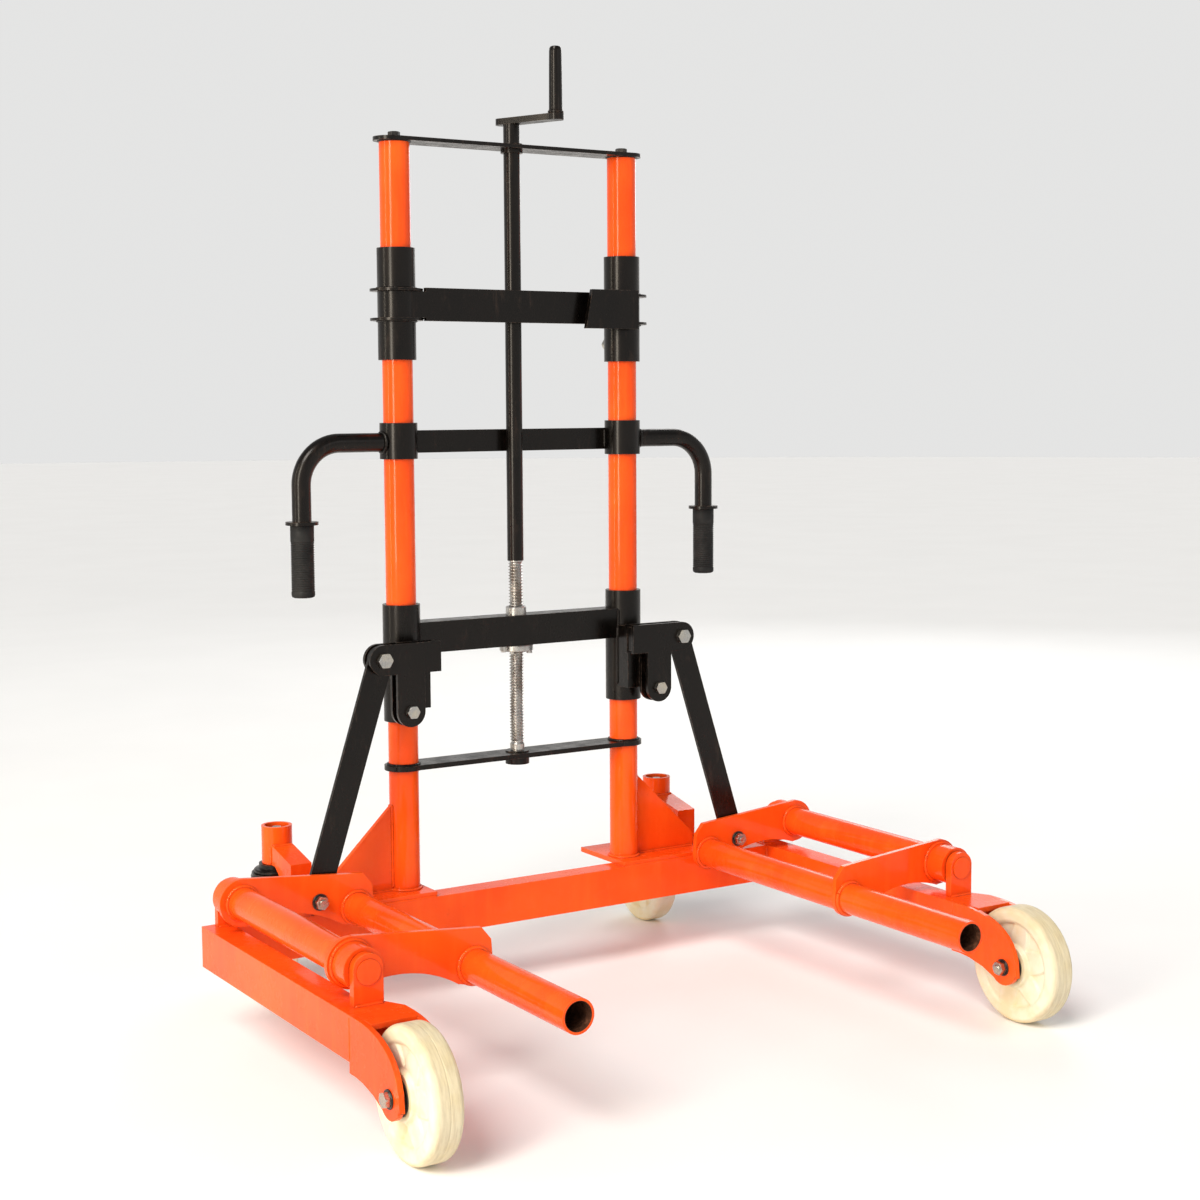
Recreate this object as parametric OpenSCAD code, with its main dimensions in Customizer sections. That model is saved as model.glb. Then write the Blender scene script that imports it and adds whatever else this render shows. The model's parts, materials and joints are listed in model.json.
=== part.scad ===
// Wheel dolly: a U-shaped base on two fixed front wheels and two braked rear casters, two columns that
// guide a screw-driven lift carriage, and two swinging fork tubes that cradle and raise a truck wheel.
// X runs to the right, Y to the rear, Z up. The origin is on the floor under the middle of the base.

/* [Base] */
// Distance between the centre lines of the two legs
track = 1050; // [1000:10:1100]
// Height of the underside of the leg beams
leg_bottom = 105; // [100:1:110]
// Width of a leg beam
leg_w = 43; // [40:1:45]
// Height of a leg beam
leg_h = 63; // [60:1:65]
// Wall of the leg beams and the rear crossbeam
beam_wall = 4; // [3:0.5:5]
// Outside width of a front fork, over its two plates
fork_span = 82; // [80:1:86]

/* [Wheels] */
// Front wheel diameter
wheel_d = 180; // [176:1:184]
// Front wheel tread width
wheel_w = 43; // [40:1:45]
// Pockets in each face of a nylon wheel
wheel_pockets = 6; // [5:1:8]
// Rear caster wheel diameter
caster_d = 150; // [146:1:152]
// Rear caster wheel tread width
caster_w = 40; // [38:1:42]
// Distance from a caster's swivel axis back to its axle
caster_trail = 34; // [30:1:38]

/* [Columns] */
// Distance between the column axes
column_spacing = 424; // [420:2:430]
// Outside diameter of a column
column_d = 48.3; // [48:0.1:48.4]
// Height of the column tops
column_top = 1368; // [1340:4:1380]
// Outside diameter of every sleeve on the columns
sleeve_d = 60.3; // [60:0.1:62]

/* [Lift] */
// Height of the swing-arm pivots
pivot_z = 213; // [208:1:216]
// Diameter of the pivot shafts
pivot_d = 35; // [34:0.5:36]
// Outside diameter of the fork tubes and the pivot tubes
fork_tube_d = 48.3; // [48:0.1:48.4]
// Wall of the fork tubes
fork_tube_wall = 4; // [3:0.5:5]
// Thickness of the swing plates
swing_plate_t = 8; // [6:1:8]
// Width of a link bar
link_w = 44; // [40:1:46]
// Radius of the crank lever
crank_radius = 90; // [80:2:100]

/* [Hidden] */
$fn = 64;
FINE = 96;
FACET = 32;
GAP = 0.3;                                  // clearance between faces that move past each other
RUN = 0.05;                                 // radial clearance of a running fit

// Levels and stations. Stations along Y are measured from the plane of the columns.
col_y = 246;                                // the plane of the columns
col_x = column_spacing / 2;
leg_top = leg_bottom + leg_h;
leg_rear_y = col_y - 14;
leg_front_y = col_y - 536;
axle_y = col_y - 651;
axle_z = wheel_d / 2;
plate_t = 8;                                // fork plates, bridges and deck plates
fork_tip_r = 28;
fork_low_z = 90;                            // lower rear corner of a fork plate
axle_d = 12;                                // front axle bolts
bridge_reach = 51;                          // how far a bridge runs forward of the leg, towards the wheel

lug_w = 44;
lug_t = 12;
front_lug_y = col_y - 512;                  // front face of a front lug
rear_lug_y = col_y - 33;                    // front face of a rear lug
boss_gap = 1.5;

crossbeam_front_y = col_y - 52;
crossbeam_t = 40;

front_plate_y = col_y - 460;                // front face of a front swing plate
rear_plate_y = col_y - 80;                  // front face of a rear swing plate
swing_end_r = 36.5;                         // round end of a swing plate about the pivot
fork_u = 188;                               // fork tube axis, inwards from the pivot
fork_w = -34;                               // fork tube axis, above the pivot
fork_end_r = 29.5;
fork_front_y = col_y - 735;
link_u = 126;                               // link bolt, inwards from the pivot
link_v = -17;                               // link bolt, above the pivot
link_bolt_d = 12;
arch_r = 180;                               // hollow underside of a swing plate
arch_u = 64;
arch_top = -27.6;

link_y = col_y - 68;                        // front face of a link
link_t = 6;
link_top_x = 282;                           // upper link pin, from the middle of the dolly
link_top_z = 562;
link_pin_d = 14;
link_slack = 4.5;                           // radial room round the upper pin

deck_top = leg_top + plate_t;
deck_in = 180;
deck_out = 400;
deck_front_y = col_y - 50;
deck_rear_y = col_y + 90;
gusset_out = 355;
gusset_low = 23;
gusset_high = 142;

caster_x = 375;
caster_y = col_y + 140;
stem_low = 213;
stem_high = 275;
stem_d = 50;
arm_front_y = col_y + 44;
arm_high = 248;
arm_fall = 20;                              // drop of a caster arm's cover towards the front
caster_axle_z = caster_d / 2;
kingpin_d = 16;

carriage_low = 452;
carriage_high = 640;
carriage_bore_d = 50;
beam_low = 560;
beam_high = 610;
screw_d = 24;
screw_low = 384;
screw_high = 700;
shaft_d = 26.9;
foot_low = 372;
foot_t = 8;
journal_d = 18;

retainer_low = 1028;
retainer_high = 1203;
liner_d = 54;
ring_d = 84;
ring_t = 4;
ring_low = 1089.5;                          // underside of the lower ring
ring_high = 1139.5;                         // top of the upper ring
clamp_z = retainer_low + 30;
bar_low = 1089;
bar_high = 1141;
clasp_low = 1081;
clasp_high = 1145;
clasp_x = 109;                              // left end of the clasp's lower edge

handle_low = 872;
handle_high = 929;
handle_z = 898.5;
handle_d = 30;
handle_bend_r = 65;
handle_x = 381;                             // axis of the upright part of a handle
grip_low = 660;
flange_z = 773;

top_plate_t = 6;
lever_low = 1408;
lever_t = 10;
lever_w = 26;
lever_tail = 16;                            // length of the crank lever behind the shaft
crank_angle = -68;                          // the crank points to the front and a little to the right
grip_high = 1523;
crank_grip_r = 11.5;

PAINT = "OrangeRed";
BLACK = "#222222";
STEEL = "Silver";
NYLON = "Ivory";
RUBBER = "#333333";

// ---- Helpers ----------------------------------------------------------------------------------

// A cylinder along Y that starts at y0
module rod_y(x, y0, z, d, l) {
    translate([x, y0, z]) rotate([-90, 0, 0]) cylinder(d = d, h = l);
}

// A cylinder along X that starts at x0
module rod_x(x0, y, z, d, l) {
    translate([x0, y, z]) rotate([0, 90, 0]) cylinder(d = d, h = l);
}

// An outline drawn in X and Z, made into a plate from y0 to y0 + t
module plate_xz(y0, t) {
    translate([0, y0 + t, 0]) rotate([90, 0, 0]) linear_extrude(t) children();
}

// An outline drawn in Y and Z, made into a plate from x0 to x0 + t
module plate_yz(x0, t) {
    translate([x0, 0, 0]) rotate([90, 0, 90]) linear_extrude(t) children();
}

// A hexagonal nut or bolt head of width af across its flats, standing on Z = 0
module hex(af, h) {
    cylinder(d = af / cos(30), h = h, $fn = 6);
}

// A tube standing on z0
module pipe(d, bore, z0, z1) {
    translate([0, 0, z0]) difference() {
        cylinder(d = d, h = z1 - z0);
        translate([0, 0, -1]) cylinder(d = bore, h = z1 - z0 + 2);
    }
}

// A hollow box with one wall thickness all round, closed at both ends
module box_beam(size, wall) {
    difference() {
        cube(size);
        translate([wall, wall, wall]) cube(size - [2, 2, 2] * wall);
    }
}

module on_column(side) {
    translate([side * col_x, col_y, 0]) children();
}

// ---- Base frame -------------------------------------------------------------------------------

function leg_x(side) = side * track / 2 - fork_span / 2;

// Both beams run along the left half of their forks, so the two legs are alike and not mirrored
module leg(side) {
    color(PAINT) translate([leg_x(side), leg_front_y, leg_bottom])
        box_beam([leg_w, leg_rear_y - leg_front_y, leg_h], beam_wall);
}

// The fork plate's upper edge falls from the leg's top to the axle as a quarter of a superellipse
fork_a = 133;
fork_b = 90;
fork_power = 2.5;
fork_top = [
    for (i = [0 : 12]) let (t = i / 12, s = 1 - pow(1 - t, 1.6))
        [col_y - 547 - fork_a * s, leg_top - fork_b + fork_b * pow(1 - pow(s, fork_power), 1 / fork_power)]
];
fork_tip = [
    for (a = [195 : 15 : 315]) [axle_y + fork_tip_r * cos(a), axle_z + fork_tip_r * sin(a)]
];

module fork_outline() {
    polygon(concat(
        [[leg_front_y, leg_top]], fork_top, fork_tip,
        [[axle_y + 45, 81], [axle_y + 75, 88], [leg_front_y - 20, fork_low_z], [leg_front_y, fork_low_z]]
    ));
}

module fork_plates() {
    color(PAINT) for (side = [-1, 1], x = [leg_x(side), leg_x(side) + fork_span - plate_t]) difference() {
        plate_yz(x, plate_t) fork_outline();
        rod_x(x - 1, axle_y, axle_z, axle_d, plate_t + 2);
    }
}

// The bridge ties the two fork plates together and carries the free half of the front lug
module fork_bridges() {
    color(PAINT) for (side = [-1, 1]) {
        translate([leg_x(side), 0, leg_top - plate_t]) linear_extrude(plate_t) polygon([
            [leg_w, leg_front_y + 36], [63, leg_front_y + 36], [fork_span, leg_front_y],
            [fork_span - plate_t, leg_front_y], [fork_span - plate_t, leg_front_y - bridge_reach],
            [plate_t, leg_front_y - bridge_reach], [plate_t, leg_front_y], [leg_w, leg_front_y]
        ]);
        translate([leg_x(side) + plate_t, leg_front_y - plate_t, leg_bottom])
            cube([fork_span - 2 * plate_t, plate_t, leg_h - plate_t]);
    }
}

module lug_outline() {
    translate([0, pivot_z + 3]) circle(d = lug_w);
    translate([-lug_w / 2, leg_top]) square([lug_w, pivot_z + 3 - leg_top]);
}

module pivot_lugs() {
    color(PAINT) for (side = [-1, 1], y = [front_lug_y, rear_lug_y]) difference() {
        translate([side * track / 2, 0, 0]) plate_xz(y, lug_t) lug_outline();
        rod_y(side * track / 2, y - 1, pivot_z, pivot_d, lug_t + 2);
    }
}

module pivot_shafts() {
    color(PAINT) for (side = [-1, 1])
        rod_y(side * track / 2, front_lug_y - 2, pivot_z, pivot_d, rear_lug_y + lug_t - front_lug_y + 4);
}

module rear_crossbeam() {
    x0 = leg_x(-1) + leg_w;
    color(PAINT) translate([x0, crossbeam_front_y, leg_bottom])
        box_beam([leg_x(1) - x0, crossbeam_t, leg_h], beam_wall);
}

// A deck plate on each side stands on the crossbeam and carries a column and a caster arm
module deck_plates() {
    color(PAINT) for (side = [-1, 1])
        translate([side > 0 ? deck_in : -deck_out, deck_front_y, leg_top])
            cube([deck_out - deck_in, deck_rear_y - deck_front_y, plate_t]);
}

module column(side) {
    color(PAINT) on_column(side) pipe(column_d, column_d - 7.2, deck_top, column_top);
}

module column_gussets() {
    foot = col_x + column_d / 2;
    color(PAINT) for (side = [-1, 1]) mirror([side < 0 ? 1 : 0, 0, 0]) difference() {
        plate_xz(col_y - plate_t / 2, plate_t) polygon([
            [foot - 2, deck_top], [gusset_out, deck_top],
            [gusset_out, deck_top + gusset_low], [foot - 2, deck_top + gusset_high]
        ]);
        translate([col_x, col_y, deck_top - 1]) cylinder(d = column_d, h = gusset_high + 2);
    }
}

// Side profile of a caster arm: it rises from the deck and leans back to the stem tube
module caster_arm_side() {
    polygon([
        [arm_front_y, deck_top], [caster_y - 52, deck_top], [caster_y - 46, 203], [caster_y - 32, stem_low],
        [caster_y - 10, stem_low], [caster_y - 10, arm_high], [arm_front_y, arm_high - arm_fall]
    ]);
}

// Two side plates, a sloping cover and the upright stem tube that holds a caster's kingpin
module caster_arm() {
    arm_w = 36;
    side_t = 6;
    back_y = caster_y - 10;                 // the arm ends inside the stem tube
    difference() {
        union() {
            for (x = [-arm_w / 2, arm_w / 2 - side_t]) plate_yz(x, side_t) caster_arm_side();
            plate_yz(-arm_w / 2, arm_w) polygon([
                [arm_front_y, arm_high - arm_fall - side_t], [back_y, arm_high - side_t],
                [back_y, arm_high], [arm_front_y, arm_high - arm_fall]
            ]);
            plate_yz(-arm_w / 2, arm_w) polygon([
                [arm_front_y, deck_top], [arm_front_y + side_t, deck_top],
                [arm_front_y + side_t, arm_high - arm_fall - 2], [arm_front_y, arm_high - arm_fall - 2]
            ]);
            translate([0, caster_y, stem_low]) cylinder(d = stem_d, h = stem_high - stem_low);
        }
        translate([0, caster_y, stem_low - 1]) cylinder(d = kingpin_d + 0.4, h = stem_high - stem_low + 2);
        translate([0, caster_y, stem_high - 20]) cylinder(d = 40, h = 21);
    }
}

module caster_arms() {
    color(PAINT) for (side = [-1, 1]) translate([side * caster_x, 0, 0]) caster_arm();
}

// ---- Column head and screw foot ----------------------------------------------------------------

module top_plate() {
    w = 55;
    end = col_x + 34 - w / 2;
    color(BLACK) difference() {
        translate([0, col_y, column_top]) linear_extrude(top_plate_t) union() {
            square([2 * end, w], center = true);
            for (side = [-1, 1]) translate([side * end, 0]) circle(d = w);
        }
        translate([0, col_y, column_top - 1]) cylinder(d = 36, h = top_plate_t + 2);
        for (side = [-1, 1]) on_column(side) translate([0, 0, column_top - 1])
            cylinder(d = 10, h = top_plate_t + 2);
    }
}

module top_plate_bolts() {
    z = column_top + top_plate_t;
    color(STEEL) for (side = [-1, 1]) on_column(side) {
        translate([0, 0, z - 30]) cylinder(d = 10, h = 30);
        translate([0, 0, z]) cylinder(d = 20, h = 2);
        translate([0, 0, z + 2]) hex(17, 7);
    }
}

module shaft_bearing() {
    color(BLACK) translate([0, col_y, 0]) pipe(36, shaft_d + 2 * RUN, column_top - 6, column_top + 9);
}

// A flat bar between the columns holds the bearing of the screw's lower end
module screw_foot() {
    w = 54;
    color(BLACK) translate([0, col_y, 0]) difference() {
        union() {
            translate([-col_x, -w / 2, foot_low]) cube([2 * col_x, w, foot_t]);
            for (side = [-1, 1]) translate([side * col_x, 0, foot_low]) cylinder(d = w + 8, h = foot_t);
            translate([0, 0, foot_low - 12]) cylinder(d = 40, h = foot_t + 14);
        }
        translate([0, 0, foot_low - 13]) cylinder(d = journal_d + 2 * RUN, h = foot_t + 16);
        for (side = [-1, 1]) translate([side * col_x, 0, foot_low - 1]) cylinder(d = column_d, h = foot_t + 2);
    }
}

// ---- Push handles ------------------------------------------------------------------------------

module handle_sleeves() {
    color(BLACK) for (side = [-1, 1]) on_column(side) pipe(sleeve_d, column_d, handle_low, handle_high);
}

// The crossbar passes behind the crank shaft
module handle_crossbar() {
    color(BLACK) difference() {
        translate([-col_x, col_y + 15, handle_z - 18]) cube([2 * col_x, 10, 36]);
        for (side = [-1, 1]) on_column(side) translate([0, 0, handle_low]) cylinder(d = sleeve_d, h = 60);
    }
}

// A handle leaves its sleeve sideways, turns down through a quarter bend and carries a stop flange
module handle(side) {
    bend_x = handle_x - handle_bend_r;
    color(BLACK) translate([0, col_y, 0]) mirror([side < 0 ? 1 : 0, 0, 0]) difference() {
        union() {
            rod_x(col_x + 20, 0, handle_z, handle_d, bend_x - col_x - 20);
            translate([bend_x, 0, handle_z - handle_bend_r]) rotate([90, 0, 0])
                rotate_extrude(angle = 90, $fn = FINE) translate([handle_bend_r, 0]) circle(d = handle_d);
            translate([handle_x, 0, grip_low + 4])
                cylinder(d = handle_d, h = handle_z - handle_bend_r - grip_low - 4);
            translate([handle_x, 0, flange_z]) cylinder(d = 51, h = 5);
        }
        translate([col_x, 0, handle_low]) cylinder(d = sleeve_d, h = 60);
    }
}

module handle_grips() {
    color(RUBBER) for (side = [-1, 1]) translate([side * handle_x, col_y, 0]) difference() {
        translate([0, 0, grip_low]) cylinder(d = 37, h = flange_z - grip_low);
        translate([0, 0, grip_low + 4]) cylinder(d = handle_d, h = flange_z - grip_low);
    }
}

// ---- Wheels ------------------------------------------------------------------------------------

// A moulded wheel about the X axis: rounded tread, thinner web with ribs between pockets, and a hub
module nylon_wheel(d, w, hub_d, hub_w, bore) {
    r = d / 2;
    round_r = 9;
    rim_r = r - 20;
    pocket = 12;
    rotate([0, 90, 0]) difference() {
        rotate_extrude($fn = FINE) union() {
            translate([bore / 2, -hub_w / 2]) square([hub_d / 2 - bore / 2, hub_w]);
            translate([bore / 2, -w / 2]) square([r - round_r - bore / 2, w]);
            translate([r - round_r, round_r - w / 2]) square([round_r, w - 2 * round_r]);
            for (s = [-1, 1]) translate([r - round_r, s * (w / 2 - round_r)]) circle(r = round_r, $fn = FACET);
        }
        for (i = [0 : wheel_pockets - 1], s = [-1, 1])
            rotate([0, 0, (i + 0.5) * 360 / wheel_pockets])
                translate([0, 0, s > 0 ? w / 2 - pocket : -w / 2 - 1])
                    linear_extrude(pocket + 1) polygon([
                        [hub_d / 2 + 6, 0], [rim_r - 3, -rim_r * 0.3], [rim_r, 0], [rim_r - 3, rim_r * 0.3]
                    ]);
    }
}

module front_wheel(side) {
    color(NYLON) translate([side * track / 2, axle_y, axle_z]) nylon_wheel(wheel_d, wheel_w, 64, 52, 42);
}

// A sealed ball bearing in each end of the hub, drawn as one ring each
module wheel_bearings(side) {
    color(RUBBER) for (s = [-1, 1])
        translate([side * track / 2 + (s > 0 ? 10 : -28.5), axle_y, axle_z]) rotate([0, 90, 0]) difference() {
            union() {
                cylinder(d = 42, h = 18.5);
                translate([0, 0, s > 0 ? 16 : 0]) cylinder(d = 51, h = 2.5);
            }
            translate([0, 0, -1]) cylinder(d = axle_d + 2 * RUN, h = 21);
        }
}

// Bolt, washers, nut and the two spacers that centre the wheel between its fork plates
module front_axles() {
    plate_in = fork_span / 2 - plate_t;
    color(STEEL) for (side = [-1, 1]) translate([side * track / 2, axle_y, axle_z]) rotate([0, -side * 90, 0]) {
        translate([0, 0, -fork_span / 2 - 2]) cylinder(d = axle_d, h = fork_span + 18);
        translate([0, 0, -fork_span / 2 - 2]) cylinder(d = 26, h = 2);
        translate([0, 0, -fork_span / 2 - 10]) hex(19, 8);
        translate([0, 0, fork_span / 2]) cylinder(d = 26, h = 2);
        translate([0, 0, fork_span / 2 + 2]) hex(19, 10);
        for (z = [-plate_in, 28.5 + GAP]) translate([0, 0, z]) cylinder(d = 26, h = plate_in - 28.5 - GAP);
    }
}

module kingpins() {
    color(STEEL) for (side = [-1, 1]) translate([side * caster_x, caster_y, 0]) {
        translate([0, 0, 168]) hex(24, 9);
        translate([0, 0, 177]) cylinder(d = kingpin_d, h = stem_high - 180);
        translate([0, 0, stem_high - 20]) cylinder(d = 34, h = 3);
        translate([0, 0, stem_high - 17]) hex(24, 12);
    }
}

// ---- Rear casters: the swivel axis is at X = Y = 0 --------------------------------------------

module at_caster(side) {
    translate([side * caster_x, caster_y, 0]) children();
}

module fork_leg_outline() {
    hull() {
        translate([caster_trail, caster_axle_z]) circle(r = 17, $fn = FACET);
        translate([-24, 166]) square([52, 12]);
    }
}

module caster_fork(side) {
    inside = caster_w / 2 + 5;
    color(BLACK) at_caster(side) difference() {
        union() {
            for (s = [-1, 1]) plate_yz(s > 0 ? inside : -inside - 5, 5) fork_leg_outline();
            translate([-inside - 5, -30, 178]) cube([2 * inside + 10, 62, 6]);
            translate([0, 0, 184]) cylinder(d = 84, h = 14);
            translate([0, 0, 198]) cylinder(d = 60, h = stem_low - GAP - 198);
        }
        translate([0, 0, 170]) cylinder(d = kingpin_d + 2 * RUN, h = 60);
        rod_x(-40, caster_trail, caster_axle_z, 12, 80);
    }
}

module caster_axle(side) {
    over = caster_w / 2 + 10;
    color(STEEL) at_caster(side) {
        rod_x(-over - 2, caster_trail, caster_axle_z, 12, 2 * over + 12);
        translate([-over - 8, caster_trail, caster_axle_z]) rotate([0, 90, 0]) hex(19, 8);
        translate([over, caster_trail, caster_axle_z]) rotate([0, 90, 0]) hex(19, 10);
    }
}

module caster_wheel(side) {
    color(NYLON) at_caster(side) translate([0, caster_trail, caster_axle_z])
        nylon_wheel(caster_d, caster_w, 44, caster_w + 6, 12 + 2 * RUN);
}

// The pedal turns on lugs behind the crown, and its shoe presses on the tread when it is down
module brake_pedal(side) {
    pivot_y = 46;
    pivot_h = 159;
    color(BLACK) at_caster(side) {
        rod_x(-caster_w / 2 - 4.5, pivot_y, pivot_h, 12, caster_w + 9);
        plate_yz(-14, 28) polygon([
            [pivot_y, pivot_h + 4], [pivot_y, pivot_h - 4], [pivot_y + 10, pivot_h - 11],
            [pivot_y + 18, pivot_h - 14], [pivot_y + 30, pivot_h - 9], [pivot_y + 62, pivot_h - 16],
            [pivot_y + 63, pivot_h - 11], [pivot_y + 28, pivot_h - 2]
        ]);
    }
}

// ---- Crank and screw ---------------------------------------------------------------------------

module at_crank() {
    translate([0, col_y, 0]) children();
}

module at_crank_grip() {
    at_crank() rotate([0, 0, crank_angle]) translate([crank_radius, 0, 0]) children();
}

module crank_shaft() {
    color(BLACK) at_crank() translate([0, 0, screw_high]) cylinder(d = shaft_d, h = lever_low - screw_high);
}

module lift_screw() {
    color(STEEL) at_crank() {
        translate([0, 0, screw_low]) cylinder(d = screw_d, h = screw_high - screw_low);
        translate([0, 0, foot_low - 10]) cylinder(d = journal_d, h = screw_low - foot_low + 10);
    }
}

module crank_lever() {
    color(BLACK) {
        at_crank() rotate([0, 0, crank_angle]) translate([0, 0, lever_low]) linear_extrude(lever_t) union() {
            for (x = [-lever_tail, crank_radius]) translate([x, 0]) circle(d = lever_w);
            translate([-lever_tail, 0.5 - lever_w / 2]) square([crank_radius + lever_tail, lever_w - 1]);
        }
        at_crank_grip() translate([0, 0, lever_low + lever_t]) cylinder(d = 10, h = 90);
    }
}

module crank_grip() {
    foot = lever_low + lever_t + GAP;
    color(BLACK) at_crank_grip() rotate_extrude() difference() {
        union() {
            polygon([
                [0, foot], [crank_grip_r + 1.5, foot], [crank_grip_r + 1.5, foot + 4], [crank_grip_r, foot + 4],
                [crank_grip_r - 1.5, grip_high - 4], [0, grip_high - 4]
            ]);
            polygon([
                [0, grip_high - 4], [crank_grip_r - 1.5, grip_high - 4],
                [crank_grip_r - 4, grip_high], [0, grip_high]
            ]);
        }
        square([5 + RUN, lever_low + lever_t + 90 + 1]);
    }
}

// ---- Lift carriage -----------------------------------------------------------------------------

module carriage_sleeves() {
    color(BLACK) for (side = [-1, 1]) on_column(side)
        pipe(sleeve_d, carriage_bore_d, carriage_low, carriage_high);
}

module carriage_beam() {
    w = 40;
    color(BLACK) difference() {
        translate([-col_x, col_y - w / 2, beam_low]) box_beam([2 * col_x, w, beam_high - beam_low], 4);
        for (side = [-1, 1]) on_column(side) translate([0, 0, beam_low - 1])
            cylinder(d = sleeve_d, h = beam_high - beam_low + 2);
        at_crank() translate([0, 0, beam_low - 1]) cylinder(d = 34, h = beam_high - beam_low + 2);
    }
}

module lift_nut() {
    color(STEEL) at_crank() difference() {
        union() {
            translate([0, 0, beam_low]) cylinder(d = 34, h = beam_high - beam_low + 14);
            translate([0, 0, beam_low - 10]) cylinder(d = 56, h = 10);
        }
        translate([0, 0, beam_low - 11]) cylinder(d = screw_d + 2 * RUN, h = beam_high - beam_low + 30);
    }
}

cheek_t = 6;
rear_cheek_y = col_y - 58;
front_cheek_y = col_y - 78;
cheek_r = 24;
spacer_x = 235;
spacer_z = 477;

module cheek_outline() {
    for (p = [[spacer_x, spacer_z], [link_top_x, link_top_z]]) translate(p) circle(r = cheek_r);
    translate([spacer_x - cheek_r, spacer_z]) square([2 * cheek_r, link_top_z + cheek_r - spacer_z]);
    translate([spacer_x, link_top_z - cheek_r]) square([link_top_x - spacer_x, 2 * cheek_r]);
    translate([col_x - 30, link_top_z - cheek_r]) square([30, 2 * cheek_r]);
}

// Two cheeks on each sleeve hold the upper end of a link between them
module carriage_cheeks() {
    color(BLACK) for (side = [-1, 1]) mirror([side < 0 ? 1 : 0, 0, 0]) difference() {
        union() {
            for (y = [rear_cheek_y, front_cheek_y]) plate_xz(y, cheek_t) cheek_outline();
            translate([col_x - 24, rear_cheek_y + cheek_t, spacer_z]) cube([36, 32, link_top_z - spacer_z + 20]);
            translate([col_x - 28, front_cheek_y + cheek_t, link_top_z - 20])
                cube([12, rear_cheek_y - front_cheek_y - cheek_t, 40]);
        }
        translate([col_x, col_y, spacer_z - 1]) cylinder(d = sleeve_d, h = 120);
        rod_y(link_top_x, front_cheek_y - 1, link_top_z, link_pin_d, 30);
        rod_y(spacer_x, front_cheek_y - 1, spacer_z, 12, 30);
    }
}

// Link pins, and the bolts with bright spacers at the foot of the cheeks
module carriage_pins() {
    span = rear_cheek_y + cheek_t - front_cheek_y;
    color(STEEL) for (side = [-1, 1]) {
        rod_y(side * link_top_x, front_cheek_y - 2, link_top_z, link_pin_d, span + 12);
        rod_y(side * spacer_x, front_cheek_y - 2, spacer_z, 12, span + 12);
        rod_y(side * spacer_x, front_cheek_y + cheek_t, spacer_z, 20, span - 2 * cheek_t);
        for (p = [[link_top_x, link_top_z, 22], [spacer_x, spacer_z, 19]])
            translate([side * p[0], front_cheek_y, p[1]]) rotate([90, 0, 0]) hex(p[2], 8);
        for (p = [[link_top_x, link_top_z, 22], [spacer_x, spacer_z, 19]])
            translate([side * p[0], front_cheek_y + span, p[1]]) rotate([-90, 0, 0]) hex(p[2], 10);
    }
}

// ---- Swing arms: drawn for the left, mirrored for the right -------------------------------------

module at_arm(side) {
    mirror([side > 0 ? 1 : 0, 0, 0]) translate([-track / 2, 0, pivot_z]) children();
}

// Bosses at both ends of the pivot tube run on the shaft
module pivot_tube(side) {
    y0 = front_lug_y + lug_t + boss_gap;
    y1 = rear_lug_y - boss_gap;
    color(PAINT) at_arm(side) difference() {
        union() {
            rod_y(0, y0, 0, fork_tube_d, y1 - y0);
            rod_y(0, y0, 0, sleeve_d, front_plate_y - y0);
            rod_y(0, rear_plate_y + swing_plate_t, 0, sleeve_d, y1 - rear_plate_y - swing_plate_t);
        }
        rod_y(0, y0 - 1, 0, pivot_d + 2 * RUN, y1 - y0 + 2);
        rod_y(0, y0 + 45, 0, pivot_d + 5, y1 - y0 - 90);
    }
}

module swing_outline() {
    difference() {
        union() {
            circle(r = swing_end_r, $fn = FINE);
            translate([fork_u, fork_w]) circle(r = fork_end_r);
            polygon([
                [4, swing_end_r - 0.3], [200, 18.5], [215, 0], [fork_u + fork_end_r, fork_w],
                [fork_u, fork_w - fork_end_r], [165, -57], [100, -57], [0, -swing_end_r]
            ]);
        }
        translate([arch_u, arch_top - arch_r]) circle(r = arch_r, $fn = FINE);
        circle(d = fork_tube_d);
    }
}

// The front plate is threaded on both tubes, the rear plate closes the end of the fork tube
module swing_plates(side) {
    color(PAINT) at_arm(side) {
        plate_xz(front_plate_y, swing_plate_t) difference() {
            swing_outline();
            translate([fork_u, fork_w]) circle(d = fork_tube_d);
        }
        plate_xz(rear_plate_y, swing_plate_t) difference() {
            swing_outline();
            translate([link_u, link_v]) circle(d = link_bolt_d);
        }
    }
}

module fork_tube(side) {
    color(PAINT) at_arm(side) difference() {
        rod_y(fork_u, fork_front_y, fork_w, fork_tube_d, rear_plate_y - fork_front_y);
        rod_y(fork_u, fork_front_y - 1, fork_w, fork_tube_d - 2 * fork_tube_wall, rear_plate_y - fork_front_y + 2);
    }
}

module link_bolt(side) {
    back = link_y + link_t;
    color(STEEL) at_arm(side) translate([link_u, 0, link_v]) {
        rod_y(0, rear_plate_y - 13, 0, link_bolt_d, back - rear_plate_y + 13);
        translate([0, rear_plate_y, 0]) rotate([90, 0, 0]) cylinder(d = 26, h = 2);
        translate([0, rear_plate_y - 2, 0]) rotate([90, 0, 0]) hex(19, 9);
        rod_y(0, rear_plate_y + swing_plate_t, 0, 26, link_y - GAP - rear_plate_y - swing_plate_t);
        translate([0, back + GAP, 0]) rotate([-90, 0, 0]) hex(19, 6);
    }
}

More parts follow.
